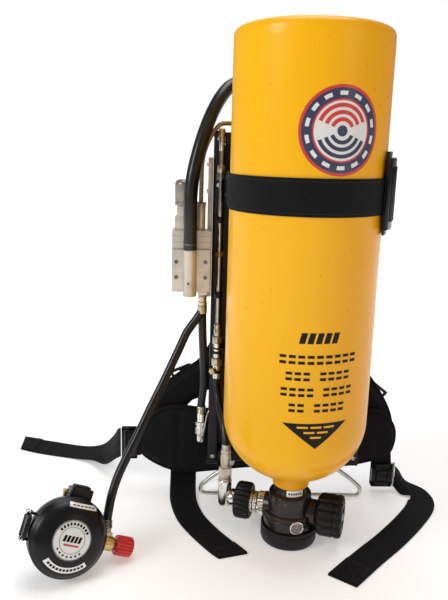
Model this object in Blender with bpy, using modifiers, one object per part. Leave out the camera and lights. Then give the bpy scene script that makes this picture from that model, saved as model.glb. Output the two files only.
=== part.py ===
"""Self-contained breathing apparatus: an air cylinder strapped to a back frame, its valve at the bottom,
a pressure reducer and hoses on the wearer's left, a mask regulator on its hose and the carrying harness.

Metres, +Z up. The origin is on the floor under the cylinder's axis. The cylinder is on the -Y side and
the wearer's back would be on the +Y side. The apparatus stands on its valve bumper and its foot wire.
"""

import math

import bmesh
import bpy
from mathutils import Matrix, Vector

# ---------------------------------------------------------------- driving dimensions
GAP = 0.0003                  # clearance between pieces that touch
RUNNING_GAP = 0.0005          # clearance round a piece that turns or slides

CYLINDER_RADIUS = 0.089
CYLINDER_TOP = 0.630
CROWN_HEIGHT = 0.022          # height of the rounded closed end
DOME_START = 0.173            # height where the valve end begins to close in
DOME_DEPTH = 0.083
NECK_RADIUS = 0.0234
NECK_BOTTOM = 0.0777
WRAP_WALL = 0.007
LINER_WALL = 0.002
LINER_NECK_RADIUS = 0.0150
NECK_BORE_RADIUS = 0.0108

VALVE_TURN = math.radians(-18)
VALVE_AXIS_HEIGHT = 0.0415
VALVE_LOWER_RADIUS = 0.0330
VALVE_LOWER_TOP = 0.0420
VALVE_BOSS_RADIUS = 0.0165
VALVE_BOSS_LEFT = 0.0325
VALVE_BOSS_RIGHT = 0.0360
BUMPER_WALL = 0.003
BUMPER_CLEARANCE = 0.0025     # between the bumper's rim and the valve's cross bore
BUMPER_HEIGHT = VALVE_AXIS_HEIGHT - VALVE_BOSS_RADIUS - BUMPER_CLEARANCE
STEM_RADIUS = 0.0052
HAND_WHEEL_RADIUS = 0.0270
HAND_WHEEL_LENGTH = 0.0330
GAUGE_RADIUS = 0.0088
GAUGE_HEIGHT = 0.0325
GAUGE_TURN = math.radians(28)

SPIGOT_RADIUS = 0.0085
SPIGOT_LENGTH = 0.0235
OUTLET_RING_RADIUS = 0.0155
OUTLET_RING_LENGTH = 0.0090
COUPLING_NUT_RADIUS = 0.0140
COUPLING_NUT_LENGTH = 0.0220
COUPLING_WHEEL_RADIUS = 0.0240
COUPLING_WHEEL_LENGTH = 0.0210
ELBOW_REACH = 0.0880
ELBOW_RADIUS = 0.0090

RAIL_OUTER = CYLINDER_RADIUS + 0.0190         # half width of the back frame
RAIL_WIDTH = 0.0143
RAIL_FRONT = CYLINDER_RADIUS + 0.0060
RAIL_DEPTH = 0.0170
RAIL_BOTTOM = 0.055
RAIL_TOP = 0.515
BAR_HEIGHT = 0.016
CRADLE_HEIGHT = 0.026
HORN_ANGLE = math.radians(41)
HORN_THICKNESS = 0.0100
CRADLE_LEVELS = {"upper": 0.448, "lower": 0.215}
PLATE_THICKNESS = 0.003
PLATE_BOTTOM = 0.060
PLATE_TOP = 0.512
HANDLE_WIDTH = 0.090
HANDLE_HEIGHT = 0.026
HANDLE_LEVEL = 0.474
FOOT_WIRE_RADIUS = 0.003

BAND_THICKNESS = 0.0018
BAND_WIDTH = 0.040
BAND_LEVEL = 0.448
LATCH_HEIGHT = 0.0785
LATCH_LEVEL = 0.4508
LATCH_BASE_THICKNESS = 0.0025
LATCH_LEVER_THICKNESS = 0.0052
LATCH_FRONT_ANGLE = math.radians(-33)
LATCH_PIN_Y = 0.0310
LATCH_LUG_RADIUS = 0.0064
LATCH_PIN_RADIUS = 0.0020
LATCH_KNUCKLE_RADIUS = 0.0045

REDUCER_RIGHT = -RAIL_OUTER - 0.0010
REDUCER_LEFT = REDUCER_RIGHT - 0.0500
REDUCER_BACK = RAIL_FRONT - 0.0050
REDUCER_FRONT = REDUCER_BACK - 0.0290
REDUCER_BOTTOM = 0.3135
REDUCER_SHOULDER = 0.3920
REDUCER_TOP = 0.4225
COVER_THICKNESS = 0.0056
COVER_TOP = 0.3685
BOSS_RADIUS = 0.0090
BOSS_DROP = 0.0050
BONNET_RADIUS = 0.0120
BONNET_HEIGHT = 0.0325
PISTON_BORE_RADIUS = 0.0065
COLUMN_RADIUS = 0.0060
OUTLET_FITTING_LENGTH = 0.0197

REGULATOR_CENTRE = Vector((-0.2694, -0.0835, 0.0483))
REGULATOR_TURN = math.radians(28)
REGULATOR_TILT = math.radians(18.3)
REGULATOR_ROLL = math.radians(24)
REGULATOR_RADIUS = 0.0455
REGULATOR_WALL = 0.0025
HOUSING_DEPTH = 0.0220
COVER_RISE = 0.0180
AIR_SAVER_RISE = 0.0105
INLET_RADIUS = 0.0060
MASK_SPIGOT_RADIUS = 0.0165
MASK_SPIGOT_LENGTH = 0.0260
NIPPLE_AXIS = Vector((-0.066, 0.515, 0.855))
NIPPLE_LENGTH = 0.0158
PURGE_KNOB_RADIUS = 0.0120
PURGE_KNOB_START = REGULATOR_RADIUS + 0.0177
PURGE_KNOB_LENGTH = 0.0220

HOSE_RADIUS = 0.0056
GAUGE_HOSE_RADIUS = 0.0088
LINE_RADIUS = 0.0028
WEBBING_THICKNESS = 0.0020
WEBBING_WIDTH = 0.038
BELT_WIDTH = 0.045
PAD_THICKNESS = 0.0135
SHOULDER_PAD_THICKNESS = 0.0100
SHOULDER_PAD_WIDTH = 0.060

TURN_STEPS = 24

# ---------------------------------------------------------------- derived places
GRIP_RADIUS = CYLINDER_RADIUS + GAP           # what wraps the cylinder starts here
BAND_OUTER = GRIP_RADIUS + BAND_THICKNESS
RAIL_INNER = RAIL_OUTER - RAIL_WIDTH
RAIL_BACK = RAIL_FRONT + RAIL_DEPTH
RAIL_CENTRE_Y = RAIL_FRONT + RAIL_DEPTH / 2
PLATE_FRONT = RAIL_BACK + GAP
PLATE_BACK = PLATE_FRONT + PLATE_THICKNESS
PAD_CENTRE_Y = PLATE_BACK + GAP + PAD_THICKNESS / 2
SHOULDER_CENTRE_Y = PLATE_BACK + 2 * GAP + PAD_THICKNESS + SHOULDER_PAD_THICKNESS / 2
STRAP_FLOOR = GAP + WEBBING_THICKNESS / 2
SUPPLY_X = -(RAIL_INNER + RAIL_OUTER) / 2 + 0.0028
SUPPLY_Y = RAIL_FRONT - 0.0086
BOSS_X = REDUCER_LEFT + 0.0235
BOSS_Y = REDUCER_FRONT - 0.0050
BONNET_X = REDUCER_LEFT + 0.0145
BONNET_Y = (REDUCER_FRONT + REDUCER_BACK) / 2 + 0.0025
COLUMN_X = REDUCER_RIGHT - 0.0140
COLUMN_Y = REDUCER_FRONT + 0.0135
FITTING_X = REDUCER_RIGHT - 0.0100
FITTING_BOTTOM = REDUCER_BOTTOM - GAP - OUTLET_FITTING_LENGTH
FITTING_YS = (REDUCER_FRONT + 0.0075, REDUCER_BACK - 0.0075)
LATCH_LEVER_INNER = BAND_OUTER + GAP + LATCH_BASE_THICKNESS + RUNNING_GAP
LATCH_PIN_REACH = LATCH_LEVER_INNER + LATCH_LEVER_THICKNESS / 2 + 0.0022
CONNECTOR_X = -RAIL_OUTER - 0.0100
CONNECTOR_Y = RAIL_FRONT + 0.0095
CONNECTOR_TOP = 0.128


# ---------------------------------------------------------------- scene helpers
def clear_scene():
    """Removes the objects that are in the scene."""
    for obj in list(bpy.data.objects):
        bpy.data.objects.remove(obj, do_unlink=True)


def new_collection(name):
    """Returns a new collection linked to the scene."""
    collection = bpy.data.collections.new(name)
    bpy.context.scene.collection.children.link(collection)
    return collection


def material(name, colour, roughness, metallic=0.0):
    """Returns a Principled material of one colour."""
    made = bpy.data.materials.new(name)
    made.use_nodes = True
    shader = made.node_tree.nodes["Principled BSDF"]
    shader.inputs["Base Color"].default_value = (*colour, 1.0)
    shader.inputs["Roughness"].default_value = roughness
    shader.inputs["Metallic"].default_value = metallic
    return made


def add_object(name, data, finish, collection, parent=None):
    """Links a new object that holds this mesh or curve."""
    obj = bpy.data.objects.new(name, data)
    collection.objects.link(obj)
    if finish is not None:
        data.materials.append(finish)
    obj.parent = parent
    return obj


def add_part(name, data, finish, parent=None):
    """Links a sub-part."""
    return add_object(name, data, finish, PARTS, parent)


def add_cutter(name, data, parent=None):
    """Links a helper that cuts or joins and isn't a part itself."""
    obj = add_object(name, data, None, CUTTERS, parent)
    obj.hide_render = True
    obj.display_type = "WIRE"
    return obj


def add_empty(name, matrix):
    """Links an empty that carries a sub-assembly."""
    obj = bpy.data.objects.new(name, None)
    PARTS.objects.link(obj)
    obj.matrix_world = matrix
    return obj


def to_mesh(name, bm):
    """Turns a bmesh into a mesh."""
    mesh = bpy.data.meshes.new(name)
    bm.to_mesh(mesh)
    bm.free()
    return mesh


def smooth(mesh, degrees=35):
    """Shades a round mesh smooth, with its corners left sharp."""
    mesh.shade_smooth()
    mesh.set_sharp_from_angle(angle=math.radians(degrees))
    return mesh


def bevelled(obj, width, segments=2):
    """Rounds the edges of an object."""
    modifier = obj.modifiers.new("round_edges", "BEVEL")
    modifier.width = width
    modifier.segments = segments
    modifier.limit_method = "ANGLE"
    return obj


def combined(obj, other, operation):
    """Joins another object to this one or cuts it out."""
    modifier = obj.modifiers.new(f"{operation.lower()}_{other.name}", "BOOLEAN")
    modifier.operation = operation
    modifier.solver = "EXACT"
    modifier.object = other
    return obj


def box_mesh(name, low, high):
    """Returns a box between two corners."""
    bm = bmesh.new()
    bmesh.ops.create_cube(bm, size=1.0)
    low, high = Vector(low), Vector(high)
    bmesh.ops.scale(bm, vec=high - low, verts=bm.verts)
    bmesh.ops.translate(bm, vec=(low + high) / 2, verts=bm.verts)
    return to_mesh(name, bm)


def turn_matrix(axis):
    """Returns the rotation that lays a turned shape's Z axis along another axis."""
    return Vector((0.0, 0.0, 1.0)).rotation_difference(Vector(axis)).to_matrix().to_4x4()


def turned_mesh(name, profile, steps=TURN_STEPS, axis=(0, 0, 1), place=(0, 0, 0)):
    """Returns the solid that a profile of (radius, height) pairs makes when it is turned.

    The profile runs from the top down its outer side. One that starts and ends off the axis is closed
    on itself, and makes a ring.
    """
    bm = bmesh.new()
    ring = profile[0][0] > 0
    verts = [bm.verts.new((radius, 0.0, height)) for radius, height in profile]
    pairs = list(zip(verts, verts[1:]))
    if ring:
        pairs.append((verts[-1], verts[0]))
    edges = [bm.edges.new(pair) for pair in pairs]
    bmesh.ops.spin(
        bm, geom=verts + edges, cent=(0, 0, 0), axis=(0, 0, 1), angle=2 * math.pi,
        steps=steps, use_merge=True, use_duplicate=False,
    )
    bmesh.ops.remove_doubles(bm, verts=bm.verts, dist=1e-6)
    bmesh.ops.recalc_face_normals(bm, faces=bm.faces)
    bmesh.ops.transform(bm, matrix=Matrix.Translation(place) @ turn_matrix(axis), verts=bm.verts)
    return smooth(to_mesh(name, bm))


def rod_mesh(name, radius, start, length, axis=(0, 0, 1), place=(0, 0, 0), steps=TURN_STEPS):
    """Returns a plain round bar along an axis, from start to start + length."""
    profile = [(0, start + length), (radius, start + length), (radius, start), (0, start)]
    return turned_mesh(name, profile, steps, axis, place)


def ring_profile(inner, outer, low, high):
    """Returns the profile of a plain sleeve."""
    return [(inner, high), (outer, high), (outer, low), (inner, low)]


def outline_mesh(name, points, low, high, matrix=Matrix.Identity(4)):
    """Returns a flat outline in the XY plane, raised between two heights."""
    bm = bmesh.new()
    face = bm.faces.new([bm.verts.new((x, y, low)) for x, y in points])
    raised = bmesh.ops.extrude_face_region(bm, geom=[face])["geom"]
    lifted = [item for item in raised if isinstance(item, bmesh.types.BMVert)]
    bmesh.ops.translate(bm, vec=(0, 0, high - low), verts=lifted)
    bmesh.ops.recalc_face_normals(bm, faces=bm.faces)
    bmesh.ops.transform(bm, matrix=matrix, verts=bm.verts)
    return smooth(to_mesh(name, bm))


def arc_points(radius, start, end, count, centre=(0.0, 0.0)):
    """Returns the points of an arc, its angles measured from +X towards +Y."""
    angles = [start + (end - start) * i / (count - 1) for i in range(count)]
    return [(centre[0] + radius * math.cos(a), centre[1] + radius * math.sin(a)) for a in angles]


def rounded_box_points(half_width, low, high, corner, count=6):
    """Returns the outline of an upright rectangle with round corners."""
    quarter = math.pi / 2
    corners = [
        (half_width - corner, low + corner, -quarter),
        (half_width - corner, high - corner, 0.0),
        (corner - half_width, high - corner, quarter),
        (corner - half_width, low + corner, 2 * quarter),
    ]
    points = []
    for x, y, start in corners:
        points += arc_points(corner, start, start + quarter, count, (x, y))
    return points


def spline_point(keys, position):
    """Returns the point at a position along a smooth curve through the keys, counted in keys."""
    index = min(int(position), len(keys) - 2)
    t = position - index
    p1, p2 = keys[index], keys[index + 1]
    p0 = keys[index - 1] if index > 0 else [2 * a - b for a, b in zip(p1, p2)]
    p3 = keys[index + 2] if index + 2 < len(keys) else [2 * b - a for a, b in zip(p1, p2)]
    return [
        0.5 * (2 * b + (c - a) * t + (2 * a - 5 * b + 4 * c - d) * t ** 2 + (3 * b - a - 3 * c + d) * t ** 3)
        for a, b, c, d in zip(p0, p1, p2, p3)
    ]


def even_curve(keys, spacing):
    """Returns points at about this spacing along the smooth curve through the keys."""
    fine = [Vector(spline_point(keys, i / 20)) for i in range(20 * (len(keys) - 1) + 1)]
    lengths = [0.0]
    for a, b in zip(fine, fine[1:]):
        lengths.append(lengths[-1] + (b - a).length)
    count = max(2, round(lengths[-1] / spacing))
    points, at = [], 0
    for i in range(count + 1):
        target = lengths[-1] * i / count
        while at < len(fine) - 2 and lengths[at + 1] < target:
            at += 1
        span = lengths[at + 1] - lengths[at]
        points.append(fine[at].lerp(fine[at + 1], (target - lengths[at]) / span))
    return points


def hose_route(keys, spacing):
    """Returns even points through the keys, with the first and the last leg kept straight."""
    return [Vector(keys[0])] + even_curve(keys[1:-1], spacing) + [Vector(keys[-1])]


def tube_curve(name, points, radius, resolution=2):
    """Returns a curve that is a round tube along these points, closed at both ends."""
    curve = bpy.data.curves.new(name, "CURVE")
    curve.dimensions = "3D"
    curve.bevel_depth = radius
    curve.bevel_resolution = resolution
    curve.use_fill_caps = True
    spline = curve.splines.new("POLY")
    spline.points.add(len(points) - 1)
    for point, place in zip(spline.points, points):
        point.co = (*place, 1.0)
    return curve


def ribbon_mesh(name, keys, steps):
    """Returns the open strip through keys of centre, across direction and width."""
    flat = [(*centre, *across, width) for centre, across, width in keys]
    bm = bmesh.new()
    rails = []
    for i in range(steps + 1):
        values = spline_point(flat, i * (len(flat) - 1) / steps)
        centre, across, width = Vector(values[:3]), Vector(values[3:6]).normalized(), values[6]
        rails.append([bm.verts.new(centre + across * width * side) for side in (-0.5, 0.5)])
    for (a, b), (c, d) in zip(rails, rails[1:]):
        bm.faces.new((a, b, d, c))
    bmesh.ops.recalc_face_normals(bm, faces=bm.faces)
    return smooth(to_mesh(name, bm), 80)


def strap(name, keys, thickness, finish, steps=24):
    """Adds a flat strap: an open strip given its thickness."""
    obj = add_part(name, ribbon_mesh(name, keys, steps), finish)
    modifier = obj.modifiers.new("thickness", "SOLIDIFY")
    modifier.thickness = thickness
    modifier.offset = 0.0
    modifier.use_even_offset = True
    return obj


def coil_points(radius, low, high, turns, per_turn=10):
    """Returns the points of a coil spring about the Z axis."""
    count = turns * per_turn
    return [
        Vector((
            radius * math.cos(2 * math.pi * i / per_turn),
            radius * math.sin(2 * math.pi * i / per_turn),
            low + (high - low) * i / count,
        ))
        for i in range(count + 1)
    ]


# ---------------------------------------------------------------- cylinder
def vessel_profile(radius, top, crown, dome_depth, neck_radius, neck_bottom):
    """Returns the profile of a bottle standing on its neck, from its closed end down."""
    exponent = 2 / 5
    points = []
    for i in range(6):
        angle = math.pi / 2 * (1 - i / 5)
        across = max(math.cos(angle), 0.0) ** exponent if i else 0.0
        points.append((radius * across, top - crown + crown * max(math.sin(angle), 0.0) ** exponent))
    last = math.acos(neck_radius / radius)
    for i in range(7):
        angle = last * i / 6
        points.append((radius * math.cos(angle), DOME_START - dome_depth * math.sin(angle)))
    points.append((neck_radius, neck_bottom))
    return points


def build_cylinder():
    """Builds the wound shell and the thin liner inside it, both open at the neck."""
    inner = CYLINDER_RADIUS - WRAP_WALL
    liner = inner - RUNNING_GAP
    outside = vessel_profile(
        CYLINDER_RADIUS, CYLINDER_TOP, CROWN_HEIGHT, DOME_DEPTH, NECK_RADIUS, NECK_BOTTOM)
    inside = vessel_profile(
        inner, CYLINDER_TOP - WRAP_WALL, CROWN_HEIGHT, DOME_DEPTH - WRAP_WALL,
        LINER_NECK_RADIUS + GAP, NECK_BOTTOM)
    mesh = turned_mesh("cylinder_shell", outside + inside[::-1], 32)
    add_part("cylinder_shell", mesh, YELLOW)
    outside = vessel_profile(
        liner, CYLINDER_TOP - WRAP_WALL - GAP, CROWN_HEIGHT, DOME_DEPTH - WRAP_WALL - GAP,
        LINER_NECK_RADIUS, NECK_BOTTOM + GAP)
    inside = vessel_profile(
        liner - LINER_WALL, CYLINDER_TOP - WRAP_WALL - GAP - LINER_WALL, CROWN_HEIGHT,
        DOME_DEPTH - WRAP_WALL - GAP - LINER_WALL, NECK_BORE_RADIUS, NECK_BOTTOM + GAP)
    mesh = turned_mesh("cylinder_liner", outside + inside[::-1], 32)
    add_part("cylinder_liner", mesh, ALUMINIUM)


# ---------------------------------------------------------------- valve
def build_valve():
    """Builds the cylinder valve: body with its outlet, stem, hand wheel, bumper and gauge."""
    turn = add_empty("valve_turn", Matrix.Rotation(VALVE_TURN, 4, "Z"))
    bottom = BUMPER_WALL + GAP
    collar_top = NECK_BOTTOM - GAP
    profile = [
        (0, NECK_BOTTOM + 0.022), (NECK_BORE_RADIUS - GAP, NECK_BOTTOM + 0.022),
        (NECK_BORE_RADIUS - GAP, collar_top), (0.0205, collar_top), (0.0205, collar_top - 0.0090),
        (0.0270, collar_top - 0.0115), (0.0290, VALVE_LOWER_TOP + 0.0060),
        (0.0290, VALVE_LOWER_TOP + 0.0010), (VALVE_LOWER_RADIUS, VALVE_LOWER_TOP),
        (VALVE_LOWER_RADIUS, bottom), (0, bottom),
    ]
    body = add_part("valve_body", turned_mesh("valve_body", profile), VALVE_GREY, turn)
    boss_place = (0, 0, VALVE_AXIS_HEIGHT)
    ring_end = VALVE_BOSS_LEFT + OUTLET_RING_LENGTH
    boss_profile = [
        (0, VALVE_BOSS_RIGHT), (VALVE_BOSS_RADIUS, VALVE_BOSS_RIGHT), (VALVE_BOSS_RADIUS, -VALVE_BOSS_LEFT),
        (OUTLET_RING_RADIUS, -VALVE_BOSS_LEFT), (OUTLET_RING_RADIUS, -ring_end), (SPIGOT_RADIUS, -ring_end),
        (SPIGOT_RADIUS, -VALVE_BOSS_LEFT - SPIGOT_LENGTH), (0, -VALVE_BOSS_LEFT - SPIGOT_LENGTH),
    ]
    boss = add_cutter("valve_boss", turned_mesh("valve_boss", boss_profile, 24, (1, 0, 0), boss_place), turn)
    stem_start = 0.0060
    bore = rod_mesh("stem_bore", STEM_RADIUS + GAP, stem_start, VALVE_BOSS_RIGHT, (1, 0, 0), boss_place, 16)
    gauge_axis = Vector((math.sin(GAUGE_TURN), -math.cos(GAUGE_TURN), 0))
    gauge_place = (0, 0, GAUGE_HEIGHT)
    pocket_start = 0.0175
    pocket = rod_mesh("gauge_pocket", GAUGE_RADIUS + GAP, pocket_start, 0.030, gauge_axis, gauge_place, 20)
    combined(body, boss, "UNION")
    combined(body, add_cutter("stem_bore", bore, turn), "DIFFERENCE")
    combined(body, add_cutter("gauge_pocket", pocket, turn), "DIFFERENCE")

    wheel_start = VALVE_BOSS_RIGHT + RUNNING_GAP
    socket_depth = 0.0110
    profile = [
        (0, HAND_WHEEL_LENGTH), (HAND_WHEEL_RADIUS - 0.004, HAND_WHEEL_LENGTH),
        (HAND_WHEEL_RADIUS, HAND_WHEEL_LENGTH - 0.004), (HAND_WHEEL_RADIUS, 0.006),
        (HAND_WHEEL_RADIUS - 0.006, 0), (STEM_RADIUS + GAP, 0),
        (STEM_RADIUS + GAP, socket_depth), (0, socket_depth),
    ]
    wheel = turned_mesh("valve_hand_wheel", profile, 28, (1, 0, 0))
    obj = add_part("valve_hand_wheel", wheel, BLACK_RUBBER, turn)
    obj.location = (wheel_start, 0, VALVE_AXIS_HEIGHT)
    stem_length = wheel_start + socket_depth - GAP - stem_start - GAP
    stem = rod_mesh("valve_stem", STEM_RADIUS, 0, stem_length, (1, 0, 0), steps=16)
    obj = add_part("valve_stem", stem, STEEL, turn)
    obj.location = (stem_start + GAP, 0, VALVE_AXIS_HEIGHT)

    inner = VALVE_LOWER_RADIUS + GAP
    profile = [
        (inner, BUMPER_HEIGHT), (inner + BUMPER_WALL, BUMPER_HEIGHT), (inner + BUMPER_WALL, 0.005),
        (inner - 0.002, 0), (0, 0), (0, BUMPER_WALL), (inner, BUMPER_WALL),
    ]
    add_part("valve_bumper", cup_mesh("valve_bumper", profile, 28), BLACK_RUBBER, turn)

    case_front = VALVE_LOWER_RADIUS + 0.0015
    recess = 0.0025
    rim = 0.0012
    profile = [
        (0, case_front - recess), (GAUGE_RADIUS - rim, case_front - recess),
        (GAUGE_RADIUS - rim, case_front), (GAUGE_RADIUS, case_front),
        (GAUGE_RADIUS, pocket_start + GAP), (0, pocket_start + GAP),
    ]
    case = turned_mesh("gauge_case", profile, 20, gauge_axis, gauge_place)
    add_part("gauge_case", case, CHROME, turn)
    pointer_length = GAUGE_RADIUS - rim - RUNNING_GAP
    pointer = box_mesh("gauge_pointer", (-0.0006, -0.0015, 0), (0.0006, pointer_length, 0.0006))
    obj = add_part("gauge_pointer", pointer, RED, turn)
    pointer_place = Vector(gauge_place) + gauge_axis * (case_front - recess + RUNNING_GAP)
    obj.matrix_local = Matrix.Translation(pointer_place) @ turn_matrix(gauge_axis)

    return turn


def cup_mesh(name, profile, steps, axis=(0, 0, 1), place=(0, 0, 0)):
    """Returns a turned cup, whose profile touches the axis inside and outside its floor."""
    start = next(i for i, (radius, _) in enumerate(profile) if radius == 0)
    ordered = profile[start + 1:] + profile[:start + 1]
    return turned_mesh(name, ordered, steps, axis, place)


def build_coupling(turn):
    """Builds the high pressure coupling on the valve's outlet, from the valve outwards."""
    place = (0, 0, VALVE_AXIS_HEIGHT)
    left = (-1, 0, 0)
    bore = SPIGOT_RADIUS + GAP
    nut_start = VALVE_BOSS_LEFT + OUTLET_RING_LENGTH + RUNNING_GAP
    profile = ring_profile(bore, COUPLING_NUT_RADIUS, 0, COUPLING_NUT_LENGTH)
    nut = add_part("coupling_nut", turned_mesh("coupling_nut", profile, 24, left), CHROME, turn)
    nut.location = (-nut_start, 0, VALVE_AXIS_HEIGHT)
    wheel_start = nut_start + 0.0085
    wheel_end = wheel_start + COUPLING_WHEEL_LENGTH
    inner = COUPLING_NUT_RADIUS + GAP
    edge = 0.004
    profile = [
        (inner, COUPLING_WHEEL_LENGTH), (COUPLING_WHEEL_RADIUS - edge, COUPLING_WHEEL_LENGTH),
        (COUPLING_WHEEL_RADIUS, COUPLING_WHEEL_LENGTH - edge), (COUPLING_WHEEL_RADIUS, edge),
        (COUPLING_WHEEL_RADIUS - edge, 0), (inner, 0),
    ]
    wheel = turned_mesh("coupling_hand_wheel", profile, 28, left)
    wheel = add_part("coupling_hand_wheel", wheel, BLACK_RUBBER, turn)
    wheel.location = (-wheel_start, 0, VALVE_AXIS_HEIGHT)

    nipple_start = VALVE_BOSS_LEFT + SPIGOT_LENGTH + GAP
    collar_start = wheel_end + RUNNING_GAP
    profile = [
        (0, ELBOW_REACH), (ELBOW_RADIUS - 0.0015, ELBOW_REACH),
        (ELBOW_RADIUS - 0.0015, collar_start + 0.0070),
        (0.0120, collar_start + 0.0070), (0.0120, collar_start), (SPIGOT_RADIUS, collar_start),
        (SPIGOT_RADIUS, nipple_start), (0, nipple_start),
    ]
    across = add_cutter("elbow_inlet", turned_mesh("elbow_inlet", profile, 20, left, place), turn)
    foot = VALVE_AXIS_HEIGHT - 0.0110
    profile = [
        (0, 0.1100), (0.0068, 0.1100), (0.0072, 0.0870), (0.0088, 0.0850), (0.0088, 0.0690),
        (ELBOW_RADIUS, 0.0670), (ELBOW_RADIUS, foot + 0.003), (ELBOW_RADIUS - 0.003, foot), (0, foot),
    ]
    elbow = turned_mesh("hose_elbow", profile, 20, place=(-ELBOW_REACH, 0, 0))
    combined(add_part("hose_elbow", elbow, CHROME, turn), across, "UNION")


# ---------------------------------------------------------------- back frame
def build_frame():
    """Builds the rails, cross bars, cradles, back plate and foot wire."""
    for side, name in ((-1, "frame_rail_left"), (1, "frame_rail_right")):
        edges = sorted((side * RAIL_INNER, side * RAIL_OUTER))
        mesh = box_mesh(name, (edges[0], RAIL_FRONT, RAIL_BOTTOM), (edges[1], RAIL_BACK, RAIL_TOP))
        bevelled(add_part(name, mesh, BLACK_METAL), 0.003)
    reach = RAIL_INNER - GAP
    for name, low in (("frame_bar_top", RAIL_TOP - BAR_HEIGHT), ("frame_bar_bottom", RAIL_BOTTOM + 0.003)):
        mesh = box_mesh(name, (-reach, RAIL_FRONT, low), (reach, RAIL_BACK, low + BAR_HEIGHT))
        bevelled(add_part(name, mesh, BLACK_METAL), 0.002)
    for name, level in CRADLE_LEVELS.items():
        points = arc_points(GRIP_RADIUS, math.pi - HORN_ANGLE, HORN_ANGLE, 17)
        neck = GRIP_RADIUS - GAP
        tip_x, tip_y = arc_points(GRIP_RADIUS + HORN_THICKNESS, HORN_ANGLE, HORN_ANGLE, 2)[0]
        right = [
            (tip_x, tip_y), (neck, RAIL_FRONT - 0.0090), (neck, RAIL_FRONT),
            (reach, RAIL_FRONT), (reach, RAIL_BACK),
        ]
        points += right + [(-x, y) for x, y in right[::-1]]
        half = CRADLE_HEIGHT / 2
        mesh = outline_mesh(f"cradle_{name}", points, level - half, level + half)
        add_part(f"cradle_{name}", mesh, BLACK_PLASTIC)
    upright = Matrix.Translation((0, PLATE_BACK, 0)) @ Matrix.Rotation(math.pi / 2, 4, "X")
    half_width = RAIL_OUTER - 0.0095
    points = rounded_box_points(half_width, PLATE_BOTTOM, PLATE_TOP, 0.030)
    mesh = outline_mesh("back_plate", points, 0, PLATE_THICKNESS, upright)
    plate = add_part("back_plate", mesh, BLACK_METAL)
    half = HANDLE_HEIGHT / 2
    points = rounded_box_points(HANDLE_WIDTH / 2, HANDLE_LEVEL - half, HANDLE_LEVEL + half, half - 0.001)
    margin = 0.005
    hole = outline_mesh("handle_hole", points, -margin, PLATE_THICKNESS + margin, upright)
    combined(plate, add_cutter("handle_hole", hole), "DIFFERENCE")
    floor = FOOT_WIRE_RADIUS + GAP
    toe = RAIL_OUTER + 0.008
    half_route = [
        (-0.070, RAIL_BOTTOM + 0.003 - 0.0014), (-0.0705, 0.0520), (-0.100, 0.0300), (-toe + 0.001, 0.0160),
        (-toe - 0.0015, 0.0090), (-toe + 0.003, floor + 0.0007), (-toe + 0.012, floor), (-0.060, floor),
    ]
    route = [(x, RAIL_CENTRE_Y, z) for x, z in half_route]
    route += [(0, RAIL_CENTRE_Y, floor)] + [(-x, y, z) for x, y, z in route[::-1]]
    add_part("foot_wire", tube_curve("foot_wire", even_curve(route, 0.011), FOOT_WIRE_RADIUS), STEEL)


# ---------------------------------------------------------------- cylinder band and latch
def beside_band(reach, start, end_y):
    """Returns a line that follows the band's right side at this reach, from an angle in front back to a Y."""
    return arc_points(reach, start, 0, 9) + [(reach, end_y)]


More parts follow.
